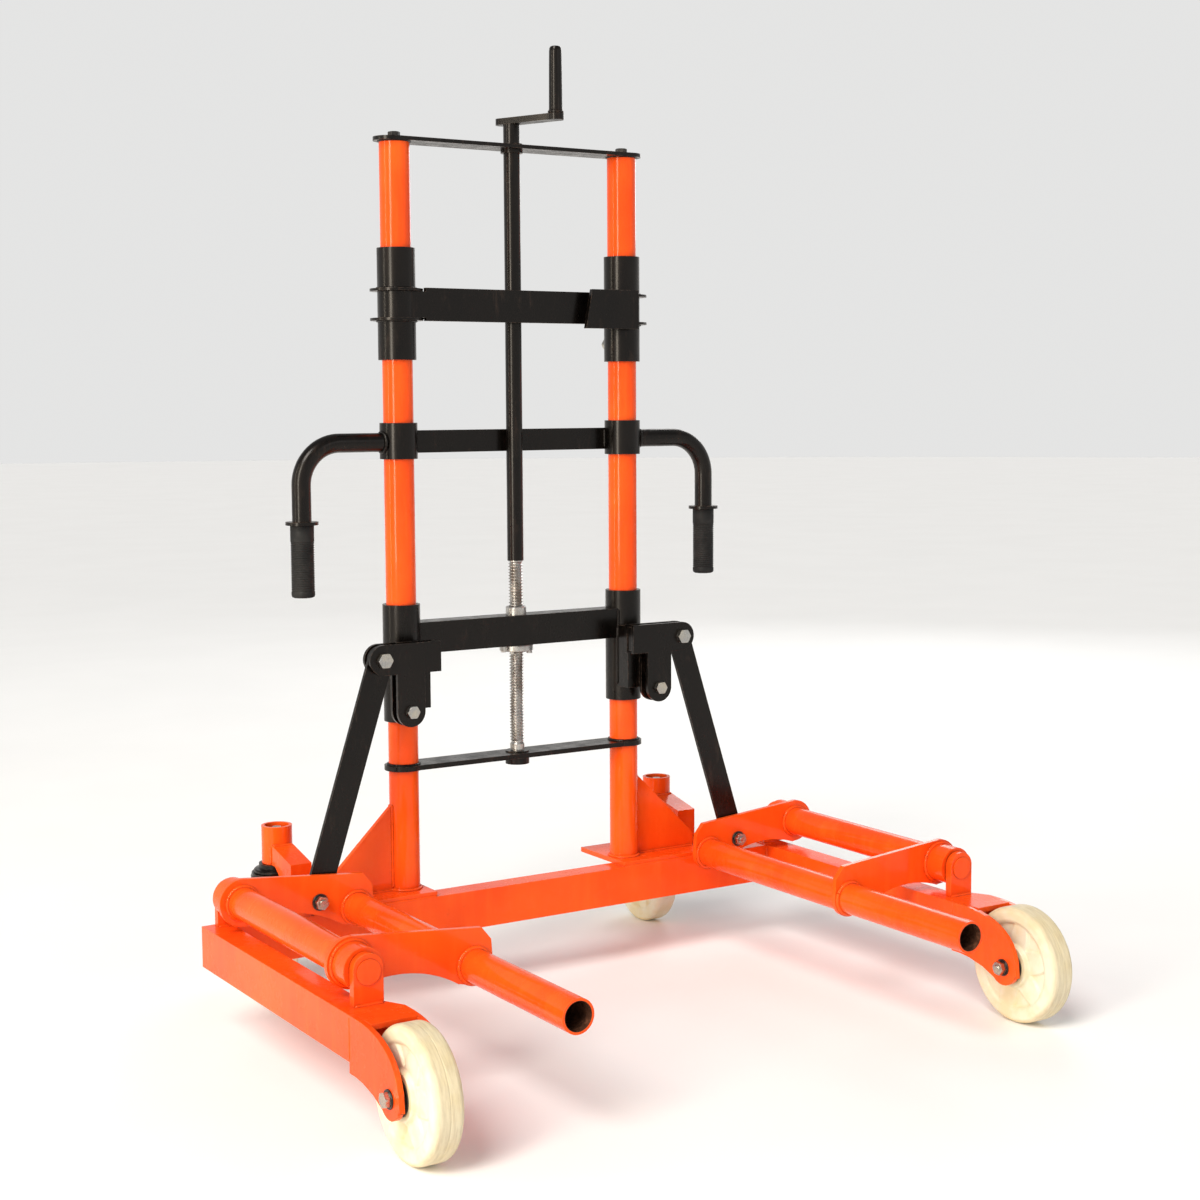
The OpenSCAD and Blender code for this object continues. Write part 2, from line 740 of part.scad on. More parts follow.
// The lower eye turns on the link bolt, the upper eye has slack round its pin
module link(side) {
    low = [track / 2 - link_u, pivot_z + link_v];
    top = [link_top_x, link_top_z];
    run = top - low;
    color(BLACK) mirror([side < 0 ? 1 : 0, 0, 0]) plate_xz(link_y, link_t) difference() {
        union() {
            for (p = [low, top]) translate(p) circle(d = link_w);
            translate(low) rotate(atan2(run[1], run[0])) translate([0, 1 - link_w / 2])
                square([norm(run), link_w - 2]);
        }
        translate(low) circle(d = link_bolt_d + 2 * RUN);
        translate(top) circle(d = link_pin_d + 2 * link_slack);
    }
}

// ---- Tyre retainer -----------------------------------------------------------------------------

// Each side is a liner with an upper and a lower sleeve; the right side is closed between its rings
module retainer_sleeves() {
    color(BLACK) for (side = [-1, 1]) on_column(side) difference() {
        union() {
            translate([0, 0, retainer_low]) cylinder(d = liner_d, h = retainer_high - retainer_low);
            translate([0, 0, retainer_low]) cylinder(d = sleeve_d, h = ring_low - retainer_low);
            translate([0, 0, ring_high]) cylinder(d = sleeve_d, h = retainer_high - ring_high);
            if (side > 0) translate([0, 0, ring_low + ring_t])
                cylinder(d = sleeve_d, h = ring_high - ring_low - 2 * ring_t);
        }
        translate([0, 0, retainer_low - 1]) cylinder(d = carriage_bore_d, h = retainer_high - retainer_low + 2);
        translate([0, 0, clamp_z]) rotate([-90, 0, 0]) cylinder(d = 10, h = sleeve_d);
    }
}

module retainer_rings() {
    color(BLACK) for (side = [-1, 1], z = [ring_low, ring_high - ring_t]) on_column(side)
        pipe(ring_d, liner_d, z, z + ring_t);
}

// The rear crossbar ties the two sides together behind the crank shaft
module retainer_crossbar() {
    color(BLACK) difference() {
        translate([-col_x, col_y + 15, ring_low + ring_t]) cube([2 * col_x, 8, ring_high - ring_low - 2 * ring_t]);
        on_column(1) translate([0, 0, ring_low]) cylinder(d = sleeve_d, h = 60);
        on_column(-1) translate([0, 0, ring_low]) cylinder(d = sleeve_d + 2, h = 60);
    }
}

// Screws in the back of the lower sleeves clamp the retainer at its height
module clamp_screws() {
    color(STEEL) for (side = [-1, 1])
        translate([side * col_x, col_y + column_d / 2 + GAP, clamp_z]) rotate([-90, 0, 0]) {
            cylinder(d = 10, h = 17);
            translate([0, 0, 17]) hex(17, 8);
        }
}

// Knuckle round the left liner, neck between the rings, flat bar and the clasp in front of the right sleeve
module retaining_bar() {
    bar_y = col_y - 28;
    bar_t = 8;
    knuckle_low = ring_low + ring_t + 0.5;
    knuckle_h = ring_high - ring_low - 2 * ring_t - 1;
    neck_x = -col_x + 38;
    bar_end = col_x - ring_d / 2 - 2;
    clasp_y = col_y - 52;
    color(BLACK) difference() {
        union() {
            on_column(-1) translate([0, 0, knuckle_low]) cylinder(d = sleeve_d, h = knuckle_h);
            translate([-col_x + 10, bar_y, knuckle_low]) cube([neck_x + col_x - 10, bar_t, knuckle_h]);
            translate([neck_x, bar_y, bar_low]) cube([bar_end - neck_x, bar_t, bar_high - bar_low]);
            translate([clasp_x + 21, clasp_y + bar_t, bar_low])
                cube([bar_end - clasp_x - 21, bar_y - clasp_y - bar_t, bar_high - bar_low]);
            plate_xz(clasp_y, bar_t) polygon([
                [clasp_x, clasp_low], [col_x, clasp_low], [col_x, clasp_high], [clasp_x + 12, clasp_high]
            ]);
        }
        on_column(-1) translate([0, 0, knuckle_low - 1]) cylinder(d = liner_d + 2 * GAP, h = knuckle_h + 2);
    }
}

// ---- Nodes -------------------------------------------------------------------------------------

leg(-1);  // leg_left
leg(1);  // leg_right
fork_plates();
fork_bridges();
pivot_lugs();
pivot_shafts();
rear_crossbeam();
deck_plates();
column(-1);  // column_left
column(1);  // column_right
column_gussets();
caster_arms();
top_plate();
top_plate_bolts();
shaft_bearing();
screw_foot();
handle_sleeves();
handle_crossbar();
handle(-1);  // handle_left
handle(1);  // handle_right
handle_grips();
front_axles();
kingpins();
crank_shaft();
lift_screw();
crank_lever();
crank_grip();
carriage_sleeves();
carriage_beam();
lift_nut();
carriage_cheeks();
carriage_pins();
pivot_tube(-1);  // pivot_tube_left
pivot_tube(1);  // pivot_tube_right
swing_plates(-1);  // swing_plates_left
swing_plates(1);  // swing_plates_right
fork_tube(-1);  // fork_tube_left
fork_tube(1);  // fork_tube_right
link_bolt(-1);  // link_bolt_left
link_bolt(1);  // link_bolt_right
link(-1);  // link_left
link(1);  // link_right
retainer_sleeves();
retainer_rings();
retainer_crossbar();
clamp_screws();
retaining_bar();
front_wheel(-1);  // front_wheel_left
front_wheel(1);  // front_wheel_right
wheel_bearings(-1);  // wheel_bearings_left
wheel_bearings(1);  // wheel_bearings_right
caster_fork(-1);  // caster_fork_left
caster_fork(1);  // caster_fork_right
caster_axle(-1);  // caster_axle_left
caster_axle(1);  // caster_axle_right
caster_wheel(-1);  // caster_wheel_left
caster_wheel(1);  // caster_wheel_right
brake_pedal(-1);  // brake_pedal_left
brake_pedal(1);  // brake_pedal_right
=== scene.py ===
"""Wheel dolly: camera, studio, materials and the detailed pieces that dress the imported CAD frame."""
import json
import math
import random
import bmesh
import bpy
from mathutils import Euler, Matrix, Vector


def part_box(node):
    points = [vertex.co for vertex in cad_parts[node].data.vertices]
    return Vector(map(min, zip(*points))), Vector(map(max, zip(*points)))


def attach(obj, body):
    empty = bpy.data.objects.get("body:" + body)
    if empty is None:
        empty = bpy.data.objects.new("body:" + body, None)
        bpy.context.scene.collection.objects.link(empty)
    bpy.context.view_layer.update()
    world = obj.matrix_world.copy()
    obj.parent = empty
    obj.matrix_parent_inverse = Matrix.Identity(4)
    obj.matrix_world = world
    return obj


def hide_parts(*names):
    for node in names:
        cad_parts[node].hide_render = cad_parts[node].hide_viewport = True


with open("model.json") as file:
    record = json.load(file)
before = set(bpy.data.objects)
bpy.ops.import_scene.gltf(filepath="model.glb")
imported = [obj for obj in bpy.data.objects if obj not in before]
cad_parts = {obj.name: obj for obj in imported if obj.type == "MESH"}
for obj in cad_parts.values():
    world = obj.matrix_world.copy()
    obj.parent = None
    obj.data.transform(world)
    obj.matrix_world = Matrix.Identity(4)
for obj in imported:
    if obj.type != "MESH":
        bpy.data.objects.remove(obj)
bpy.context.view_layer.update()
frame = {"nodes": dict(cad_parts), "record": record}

MM = 0.001
TAU = 2 * math.pi
nodes = frame["nodes"]

# ---- Where the CAD pieces are, in millimetres: from their boxes where those give it, and
# ---- otherwise as the same sizes that part.scad has ---------------------------------------------
def middle(node):
    """Centre of a CAD node's box."""
    low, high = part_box(node)
    return (low + high) / 2 / MM


def low(node):
    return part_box(node)[0] / MM


def high(node):
    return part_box(node)[1] / MM


COL_X, COL_Y, _ = middle("column_right")
COL_R = high("column_right").x - COL_X
COLUMN_TOP = high("column_right").z
DECK_TOP = low("column_right").z
SLEEVE_R = high("handle_sleeves").y - COL_Y
LEG_LOW = low("leg_left").z
LEG_TOP = high("leg_left").z
LEG_FRONT_Y = low("leg_left").y
PIVOT_X, AXLE_Y, AXLE_Z = middle("front_wheel_right")
PIVOT_Z = middle("pivot_tube_right").z
FORK_X, _, FORK_Z = middle("fork_tube_right")
TUBE_R = high("fork_tube_right").x - FORK_X
SWING_T = 8.0
FRONT_PLATE_Y = low("swing_plates_right").y
REAR_PLATE_Y = high("swing_plates_right").y - SWING_T
STEM_R = 25.0
BORE_MASK_R = 20.6
CRANK_R = 90
CRANK_AZIMUTH = -68
GRIP_FOOT_Z = 1418.3
CASTER_X = high("caster_arms").x - STEM_R
CASTER_Y = high("caster_arms").y - STEM_R
CASTER_AXLE_Y = middle("caster_wheel_right").y
CASTER_AXLE_Z = middle("caster_wheel_right").z
CARRIAGE_BOLT_Y = low("carriage_cheeks").y
LINK_PIN = (282.0, 562.0)
SPACER_BOLT = (235.0, 477.0)
LINK_BOLT = (PIVOT_X - 126, PIVOT_Z - 17)
GRIP_R = 18.5
HANDLE_X = high("handle_grips").x - GRIP_R
HANDLE_Z = middle("handle_crossbar").z
RING_LOW = low("retainer_rings").z
RING_HIGH = high("retainer_rings").z

GUSSET_OUT = round(high("column_gussets").x)
GUSSET_TOP = round(high("column_gussets").z)
DECK_OUT = round(high("deck_plates").x)

# ---- Where weld beads run, in millimetres, just clear of the faces that they join ---------------
GUSSET_FACE = 4.6                           # from the gusset's middle
DECK_IN = 180
ARM_HALF = 18.0                             # half the width of a caster arm
FORK_HALF = 41                              # from a front wheel's middle to its leg's left face
LEG_INNER_FACES = {-1: -523, 1: 484}        # the legs are alike and not mirrored
LUG_REACH = 21
RIGHT_REAR_LUG_REACH = (485, 526)           # the whole width of the right leg's top
FRONT_LUG_FACES = (COL_Y - 512, COL_Y - 500)
REAR_LUG_FACES = (COL_Y - 33, COL_Y - 21)
CROSSBAR_Z = (883, 914)
FOOT_BAR_TOP = 380.6
SHAFT_BEARING_LOW = 1374.4
RETAINER_BAR_Z = (1096, 1132)
CARRIAGE_BEAM_Z = (562, 608)
CHEEK_Z = (480, 578)


# ---- Material helpers ---------------------------------------------------------------------------
class Shader:
    """A material whose nodes are added by short calls."""

    def __init__(self, name):
        self.material = bpy.data.materials.new(name)
        self.material.use_nodes = True
        self.tree = self.material.node_tree
        self.tree.nodes.clear()
        self.out = self.add("ShaderNodeOutputMaterial")
        self.bsdf = self.add("ShaderNodeBsdfPrincipled")
        self.link(self.bsdf.outputs[0], self.out.inputs["Surface"])
        self.coords = self.add("ShaderNodeTexCoord").outputs["Object"]

    def add(self, kind, **settings):
        node = self.tree.nodes.new(kind)
        for key, value in settings.items():
            setattr(node, key, value)
        return node

    def link(self, a, b):
        self.tree.links.new(a, b)

    def put(self, socket, value):
        """Sets a socket to a constant, or links it to another node's output."""
        if isinstance(value, bpy.types.NodeSocket):
            self.link(value, socket)
        else:
            socket.default_value = value

    def put_color(self, socket, color):
        """Does the same for a colour, which is three numbers or another node's output."""
        self.put(socket, color if isinstance(color, bpy.types.NodeSocket) else (*color, 1.0))

    def noise(self, scale, detail=4.0, rough=0.55, stretch=(1, 1, 1), distortion=0.0, source=None):
        mapping = self.add("ShaderNodeMapping")
        mapping.inputs["Scale"].default_value = stretch
        self.link(source or self.coords, mapping.inputs["Vector"])
        noise = self.add("ShaderNodeTexNoise")
        self.link(mapping.outputs[0], noise.inputs["Vector"])
        noise.inputs["Scale"].default_value = scale
        noise.inputs["Detail"].default_value = detail
        noise.inputs["Roughness"].default_value = rough
        noise.inputs["Distortion"].default_value = distortion
        return noise.outputs["Fac"]

    def ramp(self, value, low, high, a=0.0, b=1.0):
        node = self.add("ShaderNodeMapRange", interpolation_type="SMOOTHSTEP")
        self.put(node.inputs["Value"], value)
        for name, number in (("From Min", low), ("From Max", high), ("To Min", a), ("To Max", b)):
            node.inputs[name].default_value = number
        return node.outputs["Result"]

    def math(self, kind, a, b=0.0):
        node = self.add("ShaderNodeMath", operation=kind)
        self.put(node.inputs[0], a)
        self.put(node.inputs[1], b)
        return node.outputs[0]

    def mix(self, factor, a, b):
        node = self.add("ShaderNodeMix", data_type="RGBA")
        self.put(node.inputs["Factor"], factor)
        self.put_color(node.inputs["A"], a)
        self.put_color(node.inputs["B"], b)
        return node.outputs["Result"]

    def rounded(self, radius):
        """The normal with every edge rounded, and how close a point is to an edge."""
        bevel = self.add("ShaderNodeBevel", samples=4)
        bevel.inputs["Radius"].default_value = radius
        geometry = self.add("ShaderNodeNewGeometry")
        dot = self.add("ShaderNodeVectorMath", operation="DOT_PRODUCT")
        self.link(bevel.outputs[0], dot.inputs[0])
        self.link(geometry.outputs["Normal"], dot.inputs[1])
        return bevel.outputs[0], self.ramp(dot.outputs["Value"], 0.995, 0.88)

    def bore(self, x, z, radius):
        """1 inside the two tubes whose axes run along Y at +x and -x, and 0 elsewhere."""
        axis = self.add("ShaderNodeSeparateXYZ")
        self.link(self.coords, axis.inputs[0])
        dx = self.math("SUBTRACT", self.math("ABSOLUTE", axis.outputs["X"]), x)
        dz = self.math("SUBTRACT", axis.outputs["Z"], z)
        square = self.math("ADD", self.math("MULTIPLY", dx, dx), self.math("MULTIPLY", dz, dz))
        return self.math("LESS_THAN", square, radius * radius)

    def crevice(self, distance):
        """How shut in a point is, from 0 in the open to 1 in a corner."""
        occlusion = self.add("ShaderNodeAmbientOcclusion", samples=4)
        occlusion.inputs["Distance"].default_value = distance
        return self.ramp(occlusion.outputs["AO"], 0.85, 0.35)

    def bump(self, height, distance, strength=1.0, normal=None):
        node = self.add("ShaderNodeBump")
        self.put(node.inputs["Height"], height)
        node.inputs["Distance"].default_value = distance
        node.inputs["Strength"].default_value = strength
        if normal is not None:
            self.link(normal, node.inputs["Normal"])
        return node.outputs[0]

    def finish(self, color, rough, normal=None, **constants):
        self.put_color(self.bsdf.inputs["Base Color"], color)
        self.put(self.bsdf.inputs["Roughness"], rough)
        if normal is not None:
            self.link(normal, self.bsdf.inputs["Normal"])
        for name, value in constants.items():
            self.bsdf.inputs[name.replace("_", " ")].default_value = value
        return self.material


# ---- Materials ----------------------------------------------------------------------------------
def orange_paint(name, shaded_bare_bores=False):
    """Brushed-on enamel: tone drifts, painted highlights along the edges, painted shade in the corners
    that also roughens there like dust, and chips.

    shaded_bare_bores paints the inside of the two fork tubes a very dark brown, partly as bare steel
    without paint and partly as painted shade.
    """
    s = Shader(name)
    normal, edge = s.rounded(1.4 * MM)
    drift = s.ramp(s.noise(5.0, 3), 0.35, 0.68)
    color = s.mix(drift, (0.86, 0.068, 0.005), (0.95, 0.100, 0.008))
    streaks = s.ramp(s.noise(60.0, 5, 0.6, (1, 1, 0.12)), 0.45, 0.75)
    color = s.mix(s.math("MULTIPLY", streaks, 0.25), color, (0.98, 0.15, 0.016))
    # Painted highlight: patches of lighter orange along the edges.
    edge_highlight = s.math("MULTIPLY", edge, s.ramp(s.noise(90.0, 4), 0.38, 0.62, 0.15, 0.75))
    color = s.mix(edge_highlight, color, (1.0, 0.21, 0.035))
    # Painted shade: darker orange in the corners and between parts; the same mask also makes those places
    # rougher, like dust.
    corner_mask = s.math("MULTIPLY", s.crevice(16 * MM), s.ramp(s.noise(70.0, 6), 0.3, 0.7, 0.35, 0.95))
    color = s.mix(corner_mask, color, (0.30, 0.024, 0.004))
    chips = s.math("MULTIPLY", edge, s.ramp(s.noise(210.0, 3), 0.655, 0.68))
    color = s.mix(chips, color, (0.060, 0.036, 0.030))
    scuffs = s.ramp(s.noise(34.0, 8, 0.72, (1, 0.35, 1), 0.6), 0.6, 0.75)
    color = s.mix(s.math("MULTIPLY", scuffs, 0.22), color, (0.40, 0.035, 0.006))
    # Partly bare steel and partly painted shade: the inside of both fork tubes is made a very dark brown.
    if shaded_bare_bores:
        rust = s.ramp(s.noise(150.0, 5, 0.6), 0.35, 0.7)
        bore_color = s.mix(rust, (0.045, 0.020, 0.012), (0.120, 0.050, 0.028))
        color = s.mix(s.bore(FORK_X * MM, FORK_Z * MM, BORE_MASK_R * MM), color, bore_color)
    sheen = s.ramp(s.noise(26.0, 6, 0.65), 0.3, 0.75, 0.16, 0.36)
    rough = s.math("ADD", sheen, s.math("MULTIPLY", corner_mask, 0.3))
    peel = s.bump(s.noise(420.0, 2, 0.4), 0.05 * MM, 0.5, normal)
    runs = s.bump(s.noise(38.0, 3), 0.35 * MM, 0.5, peel)
    return s.finish(color, rough, runs, Specular_IOR_Level=0.07, Specular_Tint=(1.0, 0.62, 0.28, 1.0),
                    Coat_Weight=0.34, Coat_Roughness=0.08)


def black_paint():
    """Satin brown-black stove paint, with streaky brown patches that are partly rubbed wear where hands
    and sleeves touch it and partly painted sheen.
    """
    s = Shader("black_paint")
    normal, edge = s.rounded(1.2 * MM)
    drift = s.ramp(s.noise(9.0, 4), 0.35, 0.7)
    color = s.mix(drift, (0.0006, 0.0005, 0.0004), (0.0022, 0.0015, 0.0012))
    # Partly rubbed wear and partly painted sheen: streaky brown patches in the base colour.
    rubbed_wear_and_sheen = s.ramp(s.noise(46.0, 8, 0.7, (1, 1, 0.3), 0.4), 0.54, 0.76)
    color = s.mix(s.math("MULTIPLY", rubbed_wear_and_sheen, 0.50), color, (0.042, 0.026, 0.019))
    worn = s.math("MULTIPLY", edge, s.ramp(s.noise(120.0, 4), 0.42, 0.60))
    color = s.mix(worn, color, (0.11, 0.075, 0.058))
    # Dust, paler than the paint, in the corners.
    corner_mask = s.math("MULTIPLY", s.crevice(10 * MM), s.ramp(s.noise(80.0, 5), 0.35, 0.7, 0.1, 0.6))
    color = s.mix(corner_mask, color, (0.014, 0.010, 0.008))
    rough = s.ramp(s.noise(42.0, 8, 0.7, (1, 1, 0.35)), 0.32, 0.70, 0.20, 0.52)
    peel = s.bump(s.noise(520.0, 2, 0.4), 0.05 * MM, 0.6, normal)
    waves = s.bump(s.noise(60.0, 3), 0.25 * MM, 0.5, peel)
    return s.finish(color, rough, waves, Specular_IOR_Level=0.11, Specular_Tint=(1.0, 0.84, 0.72, 1.0),
                    Coat_Weight=0.34, Coat_Roughness=0.20, Coat_Tint=(1.0, 0.90, 0.80, 1.0))


def zinc_steel():
    """Bright zinc plate with a yellow-blue drift and scratches, darker and rougher in the corners."""
    s = Shader("zinc_steel")
    normal, _ = s.rounded(0.5 * MM)
    drift = s.ramp(s.noise(55.0, 4), 0.35, 0.7)
    color = s.mix(drift, (0.40, 0.395, 0.38), (0.50, 0.46, 0.38))
    # Darker and rougher in the corners.
    corner_darkening = s.math("MULTIPLY", s.crevice(5 * MM), s.ramp(s.noise(160.0, 5), 0.35, 0.7, 0.2, 0.9))
    color = s.mix(corner_darkening, color, (0.10, 0.080, 0.065))
    sheen = s.ramp(s.noise(240.0, 5, 0.7), 0.3, 0.7, 0.20, 0.40)
    rough = s.math("ADD", sheen, s.math("MULTIPLY", corner_darkening, 0.3))
    scratches = s.bump(s.noise(900.0, 3, 0.6, (1, 0.08, 1)), 0.03 * MM, 0.5, normal)
    return s.finish(color, rough, scratches, Metallic=1.0)


def dark_steel():
    """Blackened washers and bearing rings, oily and slightly brown."""
    s = Shader("dark_steel")
    normal, edge = s.rounded(0.4 * MM)
    color = s.mix(s.ramp(s.noise(90.0, 5), 0.35, 0.7), (0.030, 0.029, 0.030), (0.075, 0.066, 0.058))
    color = s.mix(s.math("MULTIPLY", edge, 0.6), color, (0.26, 0.25, 0.24))
    rough = s.ramp(s.noise(200.0, 5, 0.65), 0.3, 0.7, 0.28, 0.48)
    return s.finish(color, rough, s.bump(s.noise(600.0, 3), 0.03 * MM, 0.5, normal), Metallic=0.85)


def nylon():
    """Cast nylon: ivory skin, with painted shade that makes the pockets yellower, and floor dirt rolled
    into the tread.
    """
    s = Shader("nylon")
    normal, _ = s.rounded(1.0 * MM)
    patches = s.ramp(s.noise(26.0, 4, 0.55), 0.36, 0.70)
    color = s.mix(patches, (0.76, 0.73, 0.57), (0.70, 0.62, 0.39))
    # Painted shade: the pockets and inner corners of the wheel are made yellower and darker.
    pocket_shade = s.crevice(14 * MM)
    color = s.mix(s.math("MULTIPLY", pocket_shade, 0.62), color, (0.78, 0.60, 0.26))
    axis = s.add("ShaderNodeSeparateXYZ")
    s.link(s.coords, axis.inputs[0])
    y = s.math("MULTIPLY", axis.outputs["Y"], axis.outputs["Y"])
    z = s.math("MULTIPLY", axis.outputs["Z"], axis.outputs["Z"])
    radius = s.math("SQRT", s.math("ADD", y, z))
    tread = s.ramp(radius, 0.900 * AXLE_Z * MM, 0.985 * AXLE_Z * MM)
    around = s.add("ShaderNodeCombineXYZ")
    s.link(axis.outputs["X"], around.inputs["X"])
    turn = s.math("ARCTAN2", axis.outputs["Y"], axis.outputs["Z"])
    s.link(s.math("MULTIPLY", turn, 0.012), around.inputs["Y"])
    streaks = s.ramp(s.noise(230.0, 6, 0.6, source=around.outputs[0]), 0.36, 0.70)
    color = s.mix(s.math("MULTIPLY", tread, 0.55), color, (0.72, 0.58, 0.36))
    rolled_in = s.math("MULTIPLY", tread, streaks)
    color = s.mix(s.math("MULTIPLY", rolled_in, 0.42), color, (0.42, 0.32, 0.18))
    marks = s.ramp(s.noise(160.0, 6, 0.7), 0.60, 0.72)
    color = s.mix(s.math("MULTIPLY", marks, 0.10), color, (0.45, 0.36, 0.22))
    sheen = s.ramp(s.noise(80.0, 6), 0.3, 0.7, 0.32, 0.48)
    rough = s.math("ADD", sheen, s.math("MULTIPLY", tread, 0.16))
    skin = s.bump(s.noise(260.0, 5, 0.6), 0.10 * MM, 0.6, normal)
    return s.finish(color, rough, skin, Subsurface_Weight=0.12, Subsurface_Scale=4 * MM,
                    Subsurface_Radius=(1.0, 0.8, 0.5))


def grip_rubber():
    """Dark grey moulded rubber, dry and chalky on the ribs."""
    s = Shader("grip_rubber")
    normal, edge = s.rounded(0.6 * MM)
    color = s.mix(s.ramp(s.noise(40.0, 5), 0.35, 0.7), (0.006, 0.006, 0.006), (0.016, 0.015, 0.014))
    color = s.mix(s.math("MULTIPLY", edge, 0.45), color, (0.055, 0.050, 0.046))
    chalk = s.ramp(s.noise(240.0, 7, 0.7), 0.55, 0.75)
    color = s.mix(s.math("MULTIPLY", chalk, 0.30), color, (0.060, 0.054, 0.048))
    rough = s.ramp(s.noise(120.0, 5), 0.3, 0.7, 0.52, 0.72)
    pores = s.bump(s.noise(800.0, 4), 0.06 * MM, 0.7, normal)
    return s.finish(color, rough, pores, Specular_IOR_Level=0.25)


def seal_rubber():
    """Black dust seals with a trace of grease."""
    s = Shader("seal_rubber")
    normal, edge = s.rounded(0.4 * MM)
    color = s.mix(s.ramp(s.noise(130.0, 5), 0.35, 0.7), (0.008, 0.008, 0.008), (0.020, 0.018, 0.016))
    color = s.mix(s.math("MULTIPLY", edge, 0.4), color, (0.05, 0.048, 0.045))
    rough = s.ramp(s.noise(90.0, 5), 0.3, 0.7, 0.30, 0.55)
    return s.finish(color, rough, s.bump(s.noise(500.0, 3), 0.04 * MM, 0.5, normal))


def screw_steel():
    """Greased machined steel for the lift screw and its nut."""
    s = Shader("screw_steel")
    normal, _ = s.rounded(0.3 * MM)
    color = s.mix(s.ramp(s.noise(30.0, 4), 0.35, 0.7), (0.42, 0.41, 0.40), (0.55, 0.53, 0.49))
    grease = s.ramp(s.noise(40.0, 6, 0.65, (1, 1, 0.4)), 0.46, 0.66)
    color = s.mix(s.math("MULTIPLY", grease, 0.6), color, (0.14, 0.095, 0.055))
    rough = s.ramp(s.noise(150.0, 5), 0.3, 0.7, 0.22, 0.40)
    return s.finish(color, rough, s.bump(s.noise(700.0, 3), 0.02 * MM, 0.5, normal), Metallic=0.9)


def pale_floor():
    s = Shader("pale_floor")
    color = s.mix(s.ramp(s.noise(2.0, 3), 0.3, 0.7), (0.94, 0.94, 0.935), (0.96, 0.96, 0.955))
    return s.finish(color, s.ramp(s.noise(6.0, 4), 0.3, 0.7, 0.55, 0.68), Specular_IOR_Level=0.25)


MATERIALS = {
    "orange_paint": orange_paint("orange_paint"),
    "orange_tube": orange_paint("orange_tube", shaded_bare_bores=True),
    "black_paint": black_paint(),
    "zinc_steel": zinc_steel(),
    "dark_steel": dark_steel(),
    "nylon": nylon(),
    "grip_rubber": grip_rubber(),
    "seal_rubber": seal_rubber(),
    "screw_steel": screw_steel(),
}


# ---- Mesh helpers: every function below works in millimetres ------------------------------------
def place(origin, axis=(0, 0, 1)):
    """A frame at origin whose local Z is axis."""
    turn = Vector((0, 0, 1)).rotation_difference(Vector(axis).normalized()).to_matrix().to_4x4()
    return Matrix.Translation(Vector(origin)) @ turn


def grid_faces(bm, rows, closed_rows=False, material=0):
    """Faces between rings of vertices."""
    count = len(rows) if closed_rows else len(rows) - 1
    for i in range(count):
        a = rows[i]
        b = rows[(i + 1) % len(rows)]
        for j in range(len(a)):
            k = (j + 1) % len(a)
            face = bm.faces.new((a[j], a[k], b[k], b[j]))
            face.material_index = material


AXIS_R = 0.02   # stands for a radius of 0, so that no two vertices meet on the axis


def lathe(bm, frame_matrix, profile, segments=64, material=0, closed=False):
    """Turns a profile of (radius, height) pairs about the local Z axis. A radius of 0 closes an end."""
    rows = []
    for radius, height in profile:
        wide = max(radius, AXIS_R)
        ring = []
        for k in range(segments):
            a = TAU * k / segments
            point = Vector((wide * math.cos(a), wide * math.sin(a), height))
            ring.append(bm.verts.new(frame_matrix @ point))
        rows.append(ring)
    grid_faces(bm, rows, closed_rows=closed, material=material)
    if not closed:
        for ring in (rows[0], rows[-1]):
            face = bm.faces.new(ring)
            face.material_index = material


def hex_head(bm, frame_matrix, af, z0, z1, turn=0.0):
    """A hexagon with both faces chamfered, af across its flats, standing from z0 to z1."""
    corner = af / math.cos(math.radians(30)) / 2
    cham = af * 0.055
    steps = 48
    rows = []
    insets = (
        (z0, 0.955), (z0 + cham * 0.45, 1.0),
        (z1 - cham, 1.0), (z1 - cham * 0.3, 0.97), (z1, 0.90),
    )
    for z, inset in insets:
        ring = []
        for k in range(steps):
            a = TAU * k / steps
            flat = af / 2 / math.cos((a % (TAU / 6)) - TAU / 12)
            if inset < 1.0:
                flat = min(flat, corner * inset)
            point = Vector((flat * math.cos(a + turn), flat * math.sin(a + turn), z))
            ring.append(bm.verts.new(frame_matrix @ point))
        rows.append(ring)
    grid_faces(bm, rows)
    for ring in (rows[0], rows[-1]):
        bm.faces.new(ring)


def rod(bm, frame_matrix, r, z0, z1):
    """A plain rod with both ends chamfered."""
    c = min(r * 0.16, 1.2, abs(z1 - z0) * 0.2)
    lathe(bm, frame_matrix, [(r - c, z0), (r, z0 + c), (r, z1 - c), (r - c, z1)], 48)


def washer(bm, frame_matrix, bore_r, r, z0, z1):
    """A dark washer with rounded rims. It takes the second of the piece's materials."""
    lathe(bm, frame_matrix, [
        (bore_r, z0), (r - 0.4, z0), (r, z0 + 0.4), (r, z1 - 0.4), (r - 0.4, z1), (bore_r, z1)
    ], 48, 1)


def thread(bm, frame_matrix, r, pitch, z0, z1, depth=None, segments=32, per_turn=6):
    """A true helical thread with run-outs at both ends."""
    depth = depth or pitch * 0.55
    rows = []
    count = max(2, round((z1 - z0) / pitch * per_turn))
    for i in range(count + 1):
        z = z0 + (z1 - z0) * i / count
        fade = min(1.0, (z - z0) / pitch, (z1 - z) / pitch)
        ring = []
        for k in range(segments):
            a = TAU * k / segments
            phase = (z / pitch - k / segments) % 1.0
            tooth = min(1.0, max(0.0, abs(phase - 0.5) * 3.2 - 0.3))
            radius = r - depth * (tooth if fade >= 1 else 1 - (1 - tooth) * fade)
            point = Vector((radius * math.cos(a), radius * math.sin(a), z))
            ring.append(bm.verts.new(frame_matrix @ point))
        rows.append(ring)
    grid_faces(bm, rows)
    for ring in (rows[0], rows[-1]):
        bm.faces.new(ring)


